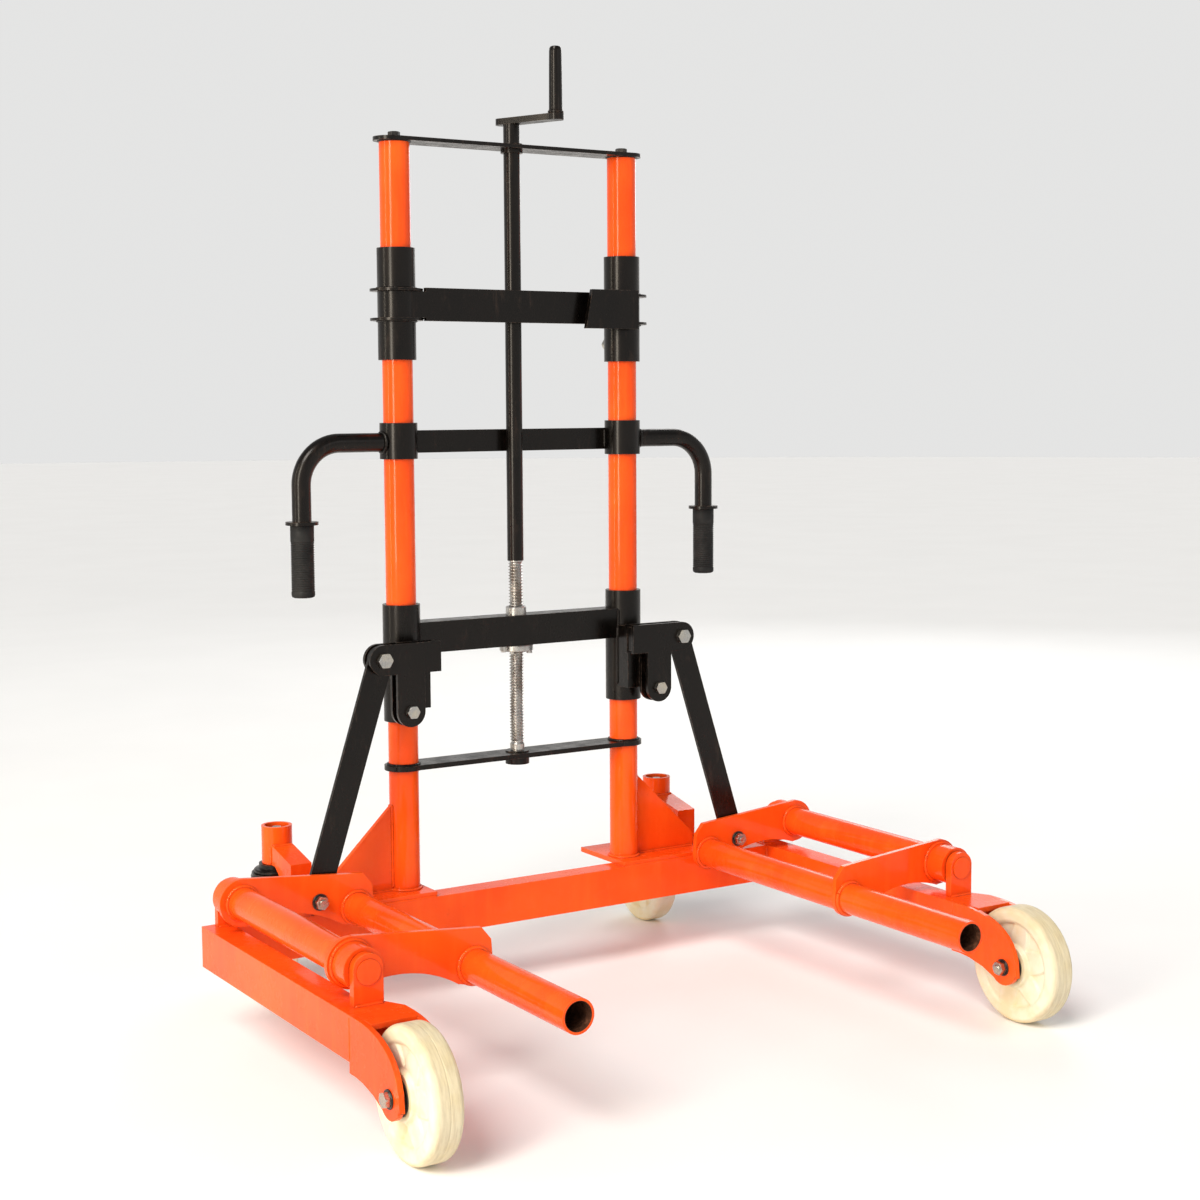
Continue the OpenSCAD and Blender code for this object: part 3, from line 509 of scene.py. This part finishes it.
def bead(bm, points, radius, closed=False, seed=1):
    """A weld bead along a path: overlapping ripples of uneven size, half sunk in the corner."""
    rng = random.Random(seed)
    path = [Vector(p) for p in points]
    if closed:
        path.append(path[0])
    ripple = radius * 0.75
    samples = []
    travelled = 0.0
    step = ripple / 3
    for a, b in zip(path, path[1:]):
        length = (b - a).length
        count = max(1, round(length / step))
        for i in range(count):
            samples.append((a.lerp(b, i / count), travelled + length * i / count))
        travelled += length
    if not closed:
        samples.append((path[-1], travelled))
    wobble = [rng.uniform(-1, 1) for _ in range(int(travelled / ripple) + 3)]
    rows = []
    for i, (point, s) in enumerate(samples):
        before = samples[(i - 1) % len(samples)][0] if closed or i else point
        after = samples[(i + 1) % len(samples)][0] if closed or i < len(samples) - 1 else point
        tangent = (after - before).normalized()
        side = tangent.cross(Vector((0.31, 0.17, 0.93)))
        if side.length < 0.2:
            side = tangent.cross(Vector((1, 0, 0)))
        side.normalize()
        up = side.cross(tangent)
        k = int(s / ripple)
        phase = (s / ripple) % 1.0
        size = radius * (0.90 + 0.16 * math.sqrt(max(0.0, 1 - phase)) + 0.07 * wobble[k])
        if not closed:
            size *= min(1.0, 0.35 + min(s, travelled - s) / (1.2 * radius))
        ring = [
            bm.verts.new(point + size * (math.cos(TAU * j / 8) * side + math.sin(TAU * j / 8) * up))
            for j in range(8)
        ]
        rows.append(ring)
    grid_faces(bm, rows, closed_rows=closed)
    if not closed:
        for ring in (rows[0], rows[-1]):
            bm.faces.new(ring)


def circle_path(center, radius, axis=(0, 0, 1), steps=48):
    m = place(center, axis)
    angles = [math.radians(360.0 * k / steps) for k in range(steps)]
    return [m @ Vector((radius * math.cos(a), radius * math.sin(a), 0)) for a in angles]


def seam(bm, start, end, radius, seed):
    """A straight weld bead."""
    bead(bm, [start, end], radius, seed=seed)


def piece(name, bm, body, materials, replaces=(), origin=(0, 0, 0), sharp=32):
    """Makes the object from a mesh in millimetres, and tells the frame where it belongs."""
    bmesh.ops.recalc_face_normals(bm, faces=bm.faces)
    bmesh.ops.translate(bm, vec=-Vector(origin), verts=bm.verts)
    bmesh.ops.scale(bm, vec=(MM, MM, MM), verts=bm.verts)
    mesh = bpy.data.meshes.new(name)
    bm.to_mesh(mesh)
    bm.free()
    for material in materials:
        mesh.materials.append(MATERIALS[material])
    mesh.shade_smooth()
    mesh.set_sharp_from_angle(angle=math.radians(sharp))
    obj = bpy.data.objects.new(name, mesh)
    obj.location = Vector(origin) * MM
    bpy.context.scene.collection.objects.link(obj)
    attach(obj, body)
    if replaces:
        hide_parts(*replaces)
    return obj


# ---- Fasteners ----------------------------------------------------------------------------------
def top_bolts():
    bm = bmesh.new()
    for side in (-1, 1):
        m = place((side * COL_X, COL_Y, high("top_plate").z))
        rod(bm, m, 5, -30, 0)
        lathe(bm, m, [(10, 0), (10.2, 0.4), (10.2, 1.6), (9.9, 2), (5.2, 2)], 48, 1)
        hex_head(bm, m, 17, 2, 8.6, turn=0.35 * side)
        lathe(bm, m, [(7.2, 8.6), (7.0, 9.0)], 48)
    piece("top_bolts_detail", bm, "frame", ["dark_steel", "dark_steel"],
          ["top_plate_bolts"])


def axle_bolts():
    bm = bmesh.new()
    half = 41
    for side in (-1, 1):
        m = place((side * PIVOT_X, AXLE_Y, AXLE_Z), (-side, 0, 0))
        rod(bm, m, 6, -half - 2, half + 9)
        thread(bm, m, 6, 1.75, half + 1, half + 16)
        for z in (-half - 2, half):
            washer(bm, m, 6.2, 13, z, z + 2)
        hex_head(bm, m, 19, -half - 9.5, -half - 2, turn=0.2)
        hex_head(bm, m, 19, half + 2, half + 12, turn=0.4)
        for z0, z1 in ((-33, -28.8), (28.8, 33)):
            rod(bm, m, 13, z0, z1)
    piece("axle_bolts_detail", bm, "frame", ["zinc_steel", "dark_steel"], ["front_axles"])


def kingpin_bolts():
    bm = bmesh.new()
    for side in (-1, 1):
        m = place((side * CASTER_X, CASTER_Y, 0))
        hex_head(bm, m, 24, 168, 177)
        rod(bm, m, 8, 177, 255)
        thread(bm, m, 8, 2, 254, 272)
        lathe(bm, m, [(8.2, 255), (16.6, 255), (17, 255.5), (17, 257.5), (16.6, 258), (8.2, 258)], 48, 1)
        hex_head(bm, m, 24, 258, 269, turn=0.3 * side)
    piece("kingpin_bolts_detail", bm, "frame", ["zinc_steel", "dark_steel"], ["kingpins"])


def carriage_bolts():
    bm = bmesh.new()
    for side in (-1, 1):
        for (x, z), r, af in ((LINK_PIN, 7, 22), (SPACER_BOLT, 6, 19)):
            m = place((side * x, CARRIAGE_BOLT_Y, z), (0, 1, 0))
            rod(bm, m, r, -2, 30)
            thread(bm, m, r, 1.75, 28, 38)
            hex_head(bm, m, af, -8, 0)
            hex_head(bm, m, af, 26, 35, turn=0.3)
        m = place((side * SPACER_BOLT[0], CARRIAGE_BOLT_Y, SPACER_BOLT[1]), (0, 1, 0))
        rod(bm, m, 10, 6, 20)
    piece("carriage_bolts_detail", bm, "lift_carriage", ["zinc_steel"], ["carriage_pins"])


def link_bolts(name, side):
    bm = bmesh.new()
    m = place((side * LINK_BOLT[0], REAR_PLATE_Y, LINK_BOLT[1]), (0, 1, 0))
    rod(bm, m, 6, -10, 18)
    thread(bm, m, 6, 1.75, -14, -8)
    washer(bm, m, 6.2, 13, -2, 0)
    hex_head(bm, m, 19, -11, -2, turn=0.25)
    washer(bm, m, 6.2, 13, 8, 11.7)
    hex_head(bm, m, 19, 18.3, 24.3)
    piece(f"link_bolt_{name}_detail", bm, f"arm_{name}", ["zinc_steel", "dark_steel"],
          [f"link_bolt_{name}"])


def clamp_screws():
    bm = bmesh.new()
    for side in (-1, 1):
        m = place((side * COL_X, COL_Y + COL_R + 0.3, middle("clamp_screws").z), (0, 1, 0))
        thread(bm, m, 5, 1.5, 0, 17.5)
        hex_head(bm, m, 17, 17, 25)
    piece("clamp_screws_detail", bm, "retainer", ["zinc_steel"], ["clamp_screws"])


def caster_axles(name, side):
    bm = bmesh.new()
    m = place((side * CASTER_X, CASTER_AXLE_Y, CASTER_AXLE_Z), (1, 0, 0))
    rod(bm, m, 6, -32, 36)
    thread(bm, m, 6, 1.75, 34, 40)
    hex_head(bm, m, 19, -38, -30)
    hex_head(bm, m, 19, 30, 38.5, turn=0.2)
    piece(f"caster_axle_{name}_detail", bm, f"swivel_{name}", ["zinc_steel"],
          [f"caster_axle_{name}"])


# ---- Wheels -------------------------------------------------------------------------------------
def smooth(x, a, b):
    t = min(1.0, max(0.0, (x - a) / (b - a)))
    return t * t * (3 - 2 * t)


def wheel_face(r, angle, radius, hub_r, hub_h, rim_h, web_h, pocket_h):
    """Height of a moulded wheel's side at a radius and an angle: hub, web with soft pockets, and rim."""
    rim_in = radius - 21
    base = hub_h + (web_h - hub_h) * smooth(r, hub_r, hub_r + 3.5)
    base = base + (rim_h - base) * smooth(r, rim_in - 4.0, rim_in + 2.5)
    sector = TAU / 6
    a = (angle + sector / 2) % sector - sector / 2
    span = max(0.0, (r - hub_r - 4) / (rim_in - hub_r - 4))
    wide = (0.06 + 0.30 * span) * r - abs(a) * r
    below_rim = smooth(rim_in - 2.0 - r, 0.0, 3.4)
    past_hub = smooth(r - hub_r - 5.0, 0.0, 3.0)
    inside = smooth(wide, 0.0, 3.4) * below_rim * past_hub
    return base + (pocket_h - base) * inside if r < rim_in + 1 else base


def moulded_wheel(name, center, body, cad_node, radius, width, hub_r, hub_w, bore, turn):
    """Cast wheel with a rounded tread, a parting line and ribs between pockets on both sides."""
    bm = bmesh.new()
    m = place(center, (1, 0, 0)) @ Matrix.Rotation(turn, 4, "Z")
    steps = 216
    levels = (hub_w / 2, width / 2, width / 2 - 2.6, width / 2 - 6.6)   # hub, rim, web, pocket floor
    rim = radius - 9
    radii = [bore + 0.05] + [bore + (rim - bore) * k / 60 for k in range(1, 61)]
    shape = [(r, None) for r in radii]
    shoulder = [(rim + 9 * math.sin(t), width / 2 - 9 * (1 - math.cos(t))) for t in
                [math.radians(9 * k) for k in range(1, 11)]]
    half = [(width / 2 - 9) * k / 6 for k in range(5, 0, -1)]
    crown = [(radius, h) for h in half] + [(radius, 0.7), (radius - 0.35, 0.0)]
    rows = []

    def add_row(r, h, sign):
        ring = []
        for k in range(steps):
            angle = TAU * k / steps
            height = h
            if height is None:
                height = wheel_face(r, angle, radius, hub_r, *levels)
            point = Vector((r * math.cos(angle), r * math.sin(angle), sign * height))
            ring.append(bm.verts.new(m @ point))
        rows.append(ring)

    for r, h in shape + shoulder + crown:
        add_row(r, h, 1)
    for r, h in reversed(shape + shoulder + crown[:-1]):
        add_row(r, h, -1)
    grid_faces(bm, rows, closed_rows=True)
    piece(name, bm, body, ["nylon"], [cad_node], origin=center, sharp=50)


def bearing_seals(name, side):
    """A pressed steel ring with a rubber lip on each end of the hub."""
    bm = bmesh.new()
    for s in (-1, 1):
        m = place((side * PIVOT_X + s * 10, AXLE_Y, AXLE_Z), (s, 0, 0))
        lathe(bm, m, [
            (6.1, 0), (21, 0), (21, 16), (25.0, 16), (25.5, 16.4), (25.5, 17.6), (24.9, 18.1),
            (19.5, 18.4), (17.5, 17.6), (15.5, 17.9), (13.6, 18.5), (11.5, 18.4), (10.6, 17.7), (6.1, 17.7)
        ], 72, 0)
    piece(f"bearing_seals_{name}", bm, f"wheel_{name}", ["seal_rubber"],
          [f"wheel_bearings_{name}"], origin=(side * PIVOT_X, AXLE_Y, AXLE_Z))


# ---- Crank, screw and grips ---------------------------------------------------------------------
def lift_screw():
    bm = bmesh.new()
    m = place((0, COL_Y, 0))
    thread(bm, m, 12, 5, 396, 699, 2.4, 48, 8)
    lathe(bm, m, [(8.6, 362.2), (9, 362.8), (9, 384), (12, 384), (12, 393), (9.8, 396)], 48)
    lathe(bm, m, [(9.6, 698), (12, 698.5), (12, 700)], 48)
    piece("lift_screw_detail", bm, "crank", ["screw_steel"], ["lift_screw"])


def lift_nut():
    bm = bmesh.new()
    m = place((0, COL_Y, 0))
    flanged_nut = [(12.6, 550), (27, 550), (28, 551), (28, 559), (27, 560),
                   (17, 560), (17, 622.5), (15.6, 624), (12.6, 624)]
    lathe(bm, m, flanged_nut, 72, closed=True)
    for k in range(4):
        a = TAU * (k + 0.5) / 4
        bolt = place((22.3 * math.cos(a), COL_Y + 22.3 * math.sin(a), 550), (0, 0, -1))
        hex_head(bm, bolt, 8, -0.5, 4)
    piece("lift_nut_detail", bm, "lift_carriage", ["screw_steel"], ["lift_nut"])


def crank_handle():
    bm = bmesh.new()
    angle = math.radians(CRANK_AZIMUTH)
    m = place((CRANK_R * math.cos(angle), COL_Y + CRANK_R * math.sin(angle), 0))
    foot = GRIP_FOOT_Z
    lathe(bm, m, [
        (5.06, foot), (11.8, foot), (12.8, foot + 1), (12.8, foot + 3.4), (11.4, foot + 4.4),
        (10.9, foot + 7), (10.7, foot + 30), (10.4, foot + 70), (10.1, 1515), (9.5, 1519.5),
        (8.2, 1521.9), (6.0, 1523), (0.2, 1523)
    ], 64)
    piece("crank_handle_detail", bm, "grip", ["black_paint"], ["crank_grip"])


def hand_grips():
    """Moulded grips with fine ribs, a collar and a closed end, on both handles."""
    bm = bmesh.new()
    for side in (-1, 1):
        m = place((side * HANDLE_X, COL_Y, 0))
        profile = [(0.2, 660), (14.5, 660), (17.2, 661.2), (18.3, 664), (18.3, 669)]
        z = 671.0
        while z < 744:
            profile += [(17.3, z), (17.1, z + 0.5), (18.1, z + 1.1), (18.2, z + 2.6), (17.3, z + 3.2)]
            z += 3.6
        profile += [(18.3, 747), (18.45, 748), (18.45, 771.5), (17.9, 772.8), (15.1, 773)]
        lathe(bm, m, profile, 64)
    piece("hand_grips_detail", bm, "frame", ["grip_rubber"], ["handle_grips"])


# ---- Weld beads ---------------------------------------------------------------------------------
def column_foot_welds(bm, side, seed):
    """Round the column's foot, and along both faces of its gusset."""
    foot = COL_X + COL_R
    deck = DECK_TOP + 0.4
    bead(bm, circle_path((side * COL_X, COL_Y, DECK_TOP + 0.8), COL_R + 0.8), 3.0, True, seed + side)
    for y in (COL_Y - GUSSET_FACE, COL_Y + GUSSET_FACE):
        x = side * (foot + 0.3)
        seam(bm, (side * (foot + 2), y, deck), (side * (GUSSET_OUT - 1), y, deck), 2.1, seed)
        seam(bm, (x, y, DECK_TOP + 4), (x, y, GUSSET_TOP), 2.1, seed + 1)
        seed += 1


def caster_arm_welds(bm, side, seed):
    """Round the arm's foot on the deck, and where its sides and its cover meet the stem tube."""
    x0 = side * CASTER_X - ARM_HALF
    x1 = side * CASTER_X + ARM_HALF
    y0 = low("caster_arms").y - 0.5
    y1 = CASTER_Y - 53
    foot_path = [(x0 - 0.5, y1, DECK_TOP), (x0 - 0.5, y0, DECK_TOP),
                 (x1 + 0.5, y0, DECK_TOP), (x1 + 0.5, y1, DECK_TOP)]
    bead(bm, foot_path, 2.6, seed=seed)
    y = CASTER_Y - math.sqrt(STEM_R ** 2 - ARM_HALF ** 2)
    for x in (x0, x1):
        seam(bm, (x, y, 215), (x, y, 243), 2.3, seed + 2)
    seam(bm, (x0 + 1, CASTER_Y - 24.4, 244.6), (x1 - 1, CASTER_Y - 24.4, 244.6), 2.4, seed + 3)


def leg_welds(bm, side, seed):
    """The deck's front edge, the feet of the pivot lugs, and the crossbeam's end on the leg."""
    deck = sorted((side * DECK_IN, side * DECK_OUT))
    y = COL_Y - 50.3
    seam(bm, (deck[0] + 2, y, LEG_TOP + 0.2), (deck[1] - 2, y, LEG_TOP + 0.2), 2.0, seed)
    lug = side * PIVOT_X
    reach = (lug - LUG_REACH, lug + LUG_REACH)
    for y in FRONT_LUG_FACES:
        seam(bm, (reach[0], y, LEG_TOP + 0.3), (reach[1], y, LEG_TOP + 0.3), 2.6, seed + 2)
    if side > 0:
        reach = RIGHT_REAR_LUG_REACH
    for y in REAR_LUG_FACES:
        seam(bm, (reach[0], y, LEG_TOP + 0.3), (reach[1], y, LEG_TOP + 0.3), 2.6, seed + 3)
    inner = LEG_INNER_FACES[side]
    seam(bm, (inner, COL_Y - 52, LEG_LOW + 2), (inner, COL_Y - 52, LEG_TOP - 1), 3.2, seed + 4)
    seam(bm, (inner, COL_Y - 50, LEG_TOP - 0.4), (inner, COL_Y - 15, LEG_TOP - 0.4), 2.6, seed + 5)


def front_fork_welds(bm, side, seed):
    """Where the fork plates and the bridge meet the leg's front end."""
    left = side * PIVOT_X - FORK_HALF
    front = LEG_FRONT_Y
    seam(bm, (left + 0.6, front, LEG_LOW + 2), (left + 0.6, front, LEG_TOP - 3), 1.5, seed)
    seam(bm, (left + 8, front - 1, LEG_LOW + 2), (left + 8, front - 8, LEG_LOW + 2), 2.0, seed + 1)
    seam(bm, (left + 74, front + 0.5, LEG_TOP - 7), (left + 74, front - 49, LEG_TOP - 7), 2.0, seed + 2)


def frame_welds():
    bm = bmesh.new()
    for side, seed in ((-1, 10), (1, 32)):
        column_foot_welds(bm, side, seed)
        caster_arm_welds(bm, side, seed + 7)
        leg_welds(bm, side, seed + 13)
        front_fork_welds(bm, side, seed + 22)
    piece("frame_welds", bm, "frame", ["orange_paint"], sharp=60)


def black_welds():
    bm = bmesh.new()
    for side in (-1, 1):
        x = side * (COL_X + SLEEVE_R - 2.4)
        bead(bm, circle_path((x + side * 1.2, COL_Y, HANDLE_Z), 15.6, (1, 0, 0)), 3.2, True, 51 + side)
        inner = side * (COL_X - math.sqrt(SLEEVE_R ** 2 - 15 ** 2))
        back = side * (COL_X - math.sqrt(SLEEVE_R ** 2 - 25 ** 2))
        low_z, high_z = CROSSBAR_Z
        seam(bm, (inner, COL_Y + 15, low_z), (inner, COL_Y + 15, high_z), 2.8, 57 + side)
        seam(bm, (back, COL_Y + 25, low_z), (back, COL_Y + 25, high_z), 2.8, 61 + side)
        bead(bm, circle_path((side * COL_X, COL_Y, COLUMN_TOP + 0.2), COL_R + 1.0), 1.8, True, 65 + side)
        bead(bm, circle_path((side * COL_X, COL_Y, FOOT_BAR_TOP), COL_R + 0.8), 2.6, True, 69 + side)
    bead(bm, circle_path((0, COL_Y, SHAFT_BEARING_LOW), 18.4), 1.8, True, 73)
    piece("frame_black_welds", bm, "frame", ["black_paint"], sharp=60)


def retainer_welds():
    bm = bmesh.new()
    for side in (-1, 1):
        for z, seed in ((RING_HIGH + 0.5, 81), (RING_LOW - 0.5, 85)):
            ring = circle_path((side * COL_X, COL_Y, z), SLEEVE_R + 0.8)
            bead(bm, ring, 1.9, True, seed + side)
    inner = COL_X - math.sqrt(SLEEVE_R ** 2 - 15 ** 2)
    low_z, high_z = RETAINER_BAR_Z
    seam(bm, (inner, COL_Y + 15, low_z), (inner, COL_Y + 15, high_z), 2.4, 91)
    piece("retainer_welds", bm, "retainer", ["black_paint"], sharp=60)


def carriage_welds():
    bm = bmesh.new()
    for side in (-1, 1):
        inner = side * (COL_X - math.sqrt(SLEEVE_R ** 2 - 20 ** 2))
        for y in (COL_Y - 20, COL_Y + 20):
            seam(bm, (inner, y, CARRIAGE_BEAM_Z[0]), (inner, y, CARRIAGE_BEAM_Z[1]), 2.6, 95 + side)
        x = side * (COL_X - 24)
        y = COL_Y - math.sqrt(SLEEVE_R ** 2 - 24 ** 2) - 0.5
        seam(bm, (x, y, CHEEK_Z[0]), (x, y, CHEEK_Z[1]), 2.4, 99 + side)
    piece("carriage_welds", bm, "lift_carriage", ["black_paint"], sharp=60)


def arm_welds(name, side):
    """Beads round both tubes at both swing plates."""
    bm = bmesh.new()
    pivot = (side * PIVOT_X, PIVOT_Z)
    fork = (side * FORK_X, FORK_Z)
    seed = 110 + 10 * side
    spots = [
        (fork, FRONT_PLATE_Y, TUBE_R, 3.6, -1), (fork, FRONT_PLATE_Y + SWING_T, TUBE_R, 3.0, 1),
        (fork, REAR_PLATE_Y, TUBE_R, 3.2, -1),
        (pivot, FRONT_PLATE_Y, SLEEVE_R, 3.0, -1), (pivot, FRONT_PLATE_Y + SWING_T, TUBE_R, 3.2, 1),
        (pivot, REAR_PLATE_Y, TUBE_R, 3.2, -1), (pivot, REAR_PLATE_Y + SWING_T, SLEEVE_R, 2.4, 1),
    ]
    for (x, z), y, radius, size, out in spots:
        ring = circle_path((x, y + out * 0.9, z), radius + 0.7, (0, 1, 0), 60)
        bead(bm, ring, size, True, seed)
        seed += 1
    piece(f"arm_{name}_welds", bm, f"arm_{name}", ["orange_paint"], sharp=60)


# ---- Casters ------------------------------------------------------------------------------------
def caster_details(name, side):
    """Raceway and dust ring of the swivel, over the forged head."""
    bm = bmesh.new()
    m = place((side * CASTER_X, CASTER_Y, 0))
    race = [(29.0, 198.0), (37.5, 198.0), (38.6, 199.2), (38.6, 202.0),
            (36.5, 204.2), (31.5, 205.0), (30.0, 206.4), (29.0, 206.4)]
    dust_ring = [(41.4, 188.0), (43.2, 188.8), (43.6, 191.0), (43.2, 193.2), (41.4, 194.0)]
    lathe(bm, m, race, 72, closed=True)
    lathe(bm, m, dust_ring, 72, closed=True)
    piece(f"swivel_race_{name}", bm, f"swivel_{name}", ["black_paint"])


# ---- Dressing the CAD nodes ---------------------------------------------------------------------
SPECIAL = {
    "fork_tube_left": "orange_tube",
    "fork_tube_right": "orange_tube",
    "lift_screw": "screw_steel",
    "lift_nut": "screw_steel",
}


def dress_nodes():
    slots = {entry["node"]: entry["material_slot"] for entry in frame["record"]["subparts"]}
    for name, obj in nodes.items():
        material = MATERIALS[SPECIAL.get(name, slots[name])]
        if not obj.material_slots:
            obj.data.materials.append(material)
        for entry in obj.material_slots:
            entry.material = material


# ---- Studio -------------------------------------------------------------------------------------
HORIZON = (0.78, 0.78, 0.775)
CEILING = (0.34, 0.34, 0.345)


def floor_disc():
    """A round floor, just under the wheels so that the two never share a face."""
    bm = bmesh.new()
    turns = [TAU * k / 64 for k in range(64)]
    rows = []
    for r in (0.02, 2.0, 6.0, 14.0, 30.0):
        rows.append([bm.verts.new((r * math.cos(a), r * math.sin(a), 0)) for a in turns])
    grid_faces(bm, rows)
    bm.faces.new(rows[0])
    bmesh.ops.recalc_face_normals(bm, faces=bm.faces)
    mesh = bpy.data.meshes.new("floor")
    bm.to_mesh(mesh)
    bm.free()
    mesh.materials.append(pale_floor())
    floor = bpy.data.objects.new("floor", mesh)
    floor.location.z = -0.0005
    bpy.context.scene.collection.objects.link(floor)


def backdrop():
    """A world that is pale at the horizon and greyer overhead."""
    world = bpy.data.worlds.new("studio")
    world.use_nodes = True
    tree = world.node_tree
    background = tree.nodes["Background"]
    background.inputs["Strength"].default_value = 1.0
    direction = tree.nodes.new("ShaderNodeTexCoord").outputs["Generated"]
    split = tree.nodes.new("ShaderNodeSeparateXYZ")
    rise = tree.nodes.new("ShaderNodeMapRange")
    sky = tree.nodes.new("ShaderNodeMix")
    sky.data_type = "RGBA"
    sky.inputs["A"].default_value = (*HORIZON, 1.0)
    sky.inputs["B"].default_value = (*CEILING, 1.0)
    rise.inputs["From Min"].default_value = 0.24
    rise.inputs["From Max"].default_value = 0.60
    tree.links.new(direction, split.inputs[0])
    tree.links.new(split.outputs["Z"], rise.inputs["Value"])
    tree.links.new(rise.outputs["Result"], sky.inputs["Factor"])
    tree.links.new(sky.outputs["Result"], background.inputs["Color"])
    bpy.context.scene.world = world


def area_light(name, location, target, size, power, color=(1, 1, 1)):
    data = bpy.data.lights.new(name, "AREA")
    data.shape = "RECTANGLE"
    data.size, data.size_y = size
    data.energy = power
    data.color = color
    light = bpy.data.objects.new(name, data)
    light.location = location
    aim = Vector(target) - Vector(location)
    light.rotation_euler = aim.to_track_quat("-Z", "Y").to_euler()
    bpy.context.scene.collection.objects.link(light)


def soft_sun(azimuth, elevation, strength, spread, color):
    """Even light over the whole floor. The azimuth runs from the front towards the left, in degrees."""
    data = bpy.data.lights.new("soft_sun", "SUN")
    data.energy = strength
    data.angle = math.radians(spread)
    data.color = color
    light = bpy.data.objects.new("soft_sun", data)
    light.rotation_euler = (math.radians(90 - elevation), 0, math.radians(-azimuth))
    bpy.context.scene.collection.objects.link(light)


def lights():
    """Soft daylight from the front left, and two slim windows that draw two streaks down every tube."""
    soft_sun(60, 48, 2.0, 26, (1.0, 0.97, 0.92))
    area_light("key_window", (-3.7, -1.7, 1.7), (0, 0, 0.75), (0.8, 2.8), 105, (1.0, 0.92, 0.78))
    area_light("side_window", (-4.0, 1.1, 1.6), (0, 0, 0.75), (0.25, 3.0), 26, (1.0, 0.90, 0.72))
    area_light("front_fill", (2.0, -5.6, 3.4), (0, 0, 0.6), (2.6, 2.0), 10)
    area_light("back_right", (3.4, 3.0, 2.6), (0, 0, 0.6), (1.6, 2.2), 34)


def camera():
    """The photo's viewpoint, solved from positions read off it and measured from the column plane."""
    data = bpy.data.cameras.new("camera")
    data.sensor_width = 36
    data.lens = 59.12
    cam = bpy.data.objects.new("camera", data)
    cam.location = (-1.6263, -2.8233 + COL_Y * MM, 0.9637)
    turn = Euler((math.radians(90 - 5.8), 0, math.radians(-32.4)), "XYZ").to_matrix()
    cam.rotation_euler = (turn @ Matrix.Rotation(math.radians(-0.3), 3, "Z")).to_euler()
    bpy.context.scene.collection.objects.link(cam)
    bpy.context.scene.camera = cam
    bpy.context.scene.view_settings.view_transform = "Standard"


# ---- Build --------------------------------------------------------------------------------------
camera()
floor_disc()
backdrop()
lights()
dress_nodes()
top_bolts()
axle_bolts()
kingpin_bolts()
carriage_bolts()
clamp_screws()
lift_screw()
lift_nut()
crank_handle()
hand_grips()
frame_welds()
black_welds()
retainer_welds()
carriage_welds()
for side_name, side_sign in (("left", -1), ("right", 1)):
    link_bolts(side_name, side_sign)
    arm_welds(side_name, side_sign)
    caster_axles(side_name, side_sign)
    caster_details(side_name, side_sign)
    bearing_seals(side_name, side_sign)
    moulded_wheel(
        f"front_wheel_{side_name}_cast", (side_sign * PIVOT_X, AXLE_Y, AXLE_Z),
        f"wheel_{side_name}", f"front_wheel_{side_name}",
        radius=90, width=43, hub_r=32, hub_w=52, bore=21, turn=0.35 + 0.4 * side_sign)
    moulded_wheel(
        f"caster_wheel_{side_name}_cast", (side_sign * CASTER_X, CASTER_AXLE_Y, CASTER_AXLE_Z),
        f"rear_wheel_{side_name}", f"caster_wheel_{side_name}",
        radius=75, width=40, hub_r=22, hub_w=46, bore=6.05, turn=0.2 * side_sign)
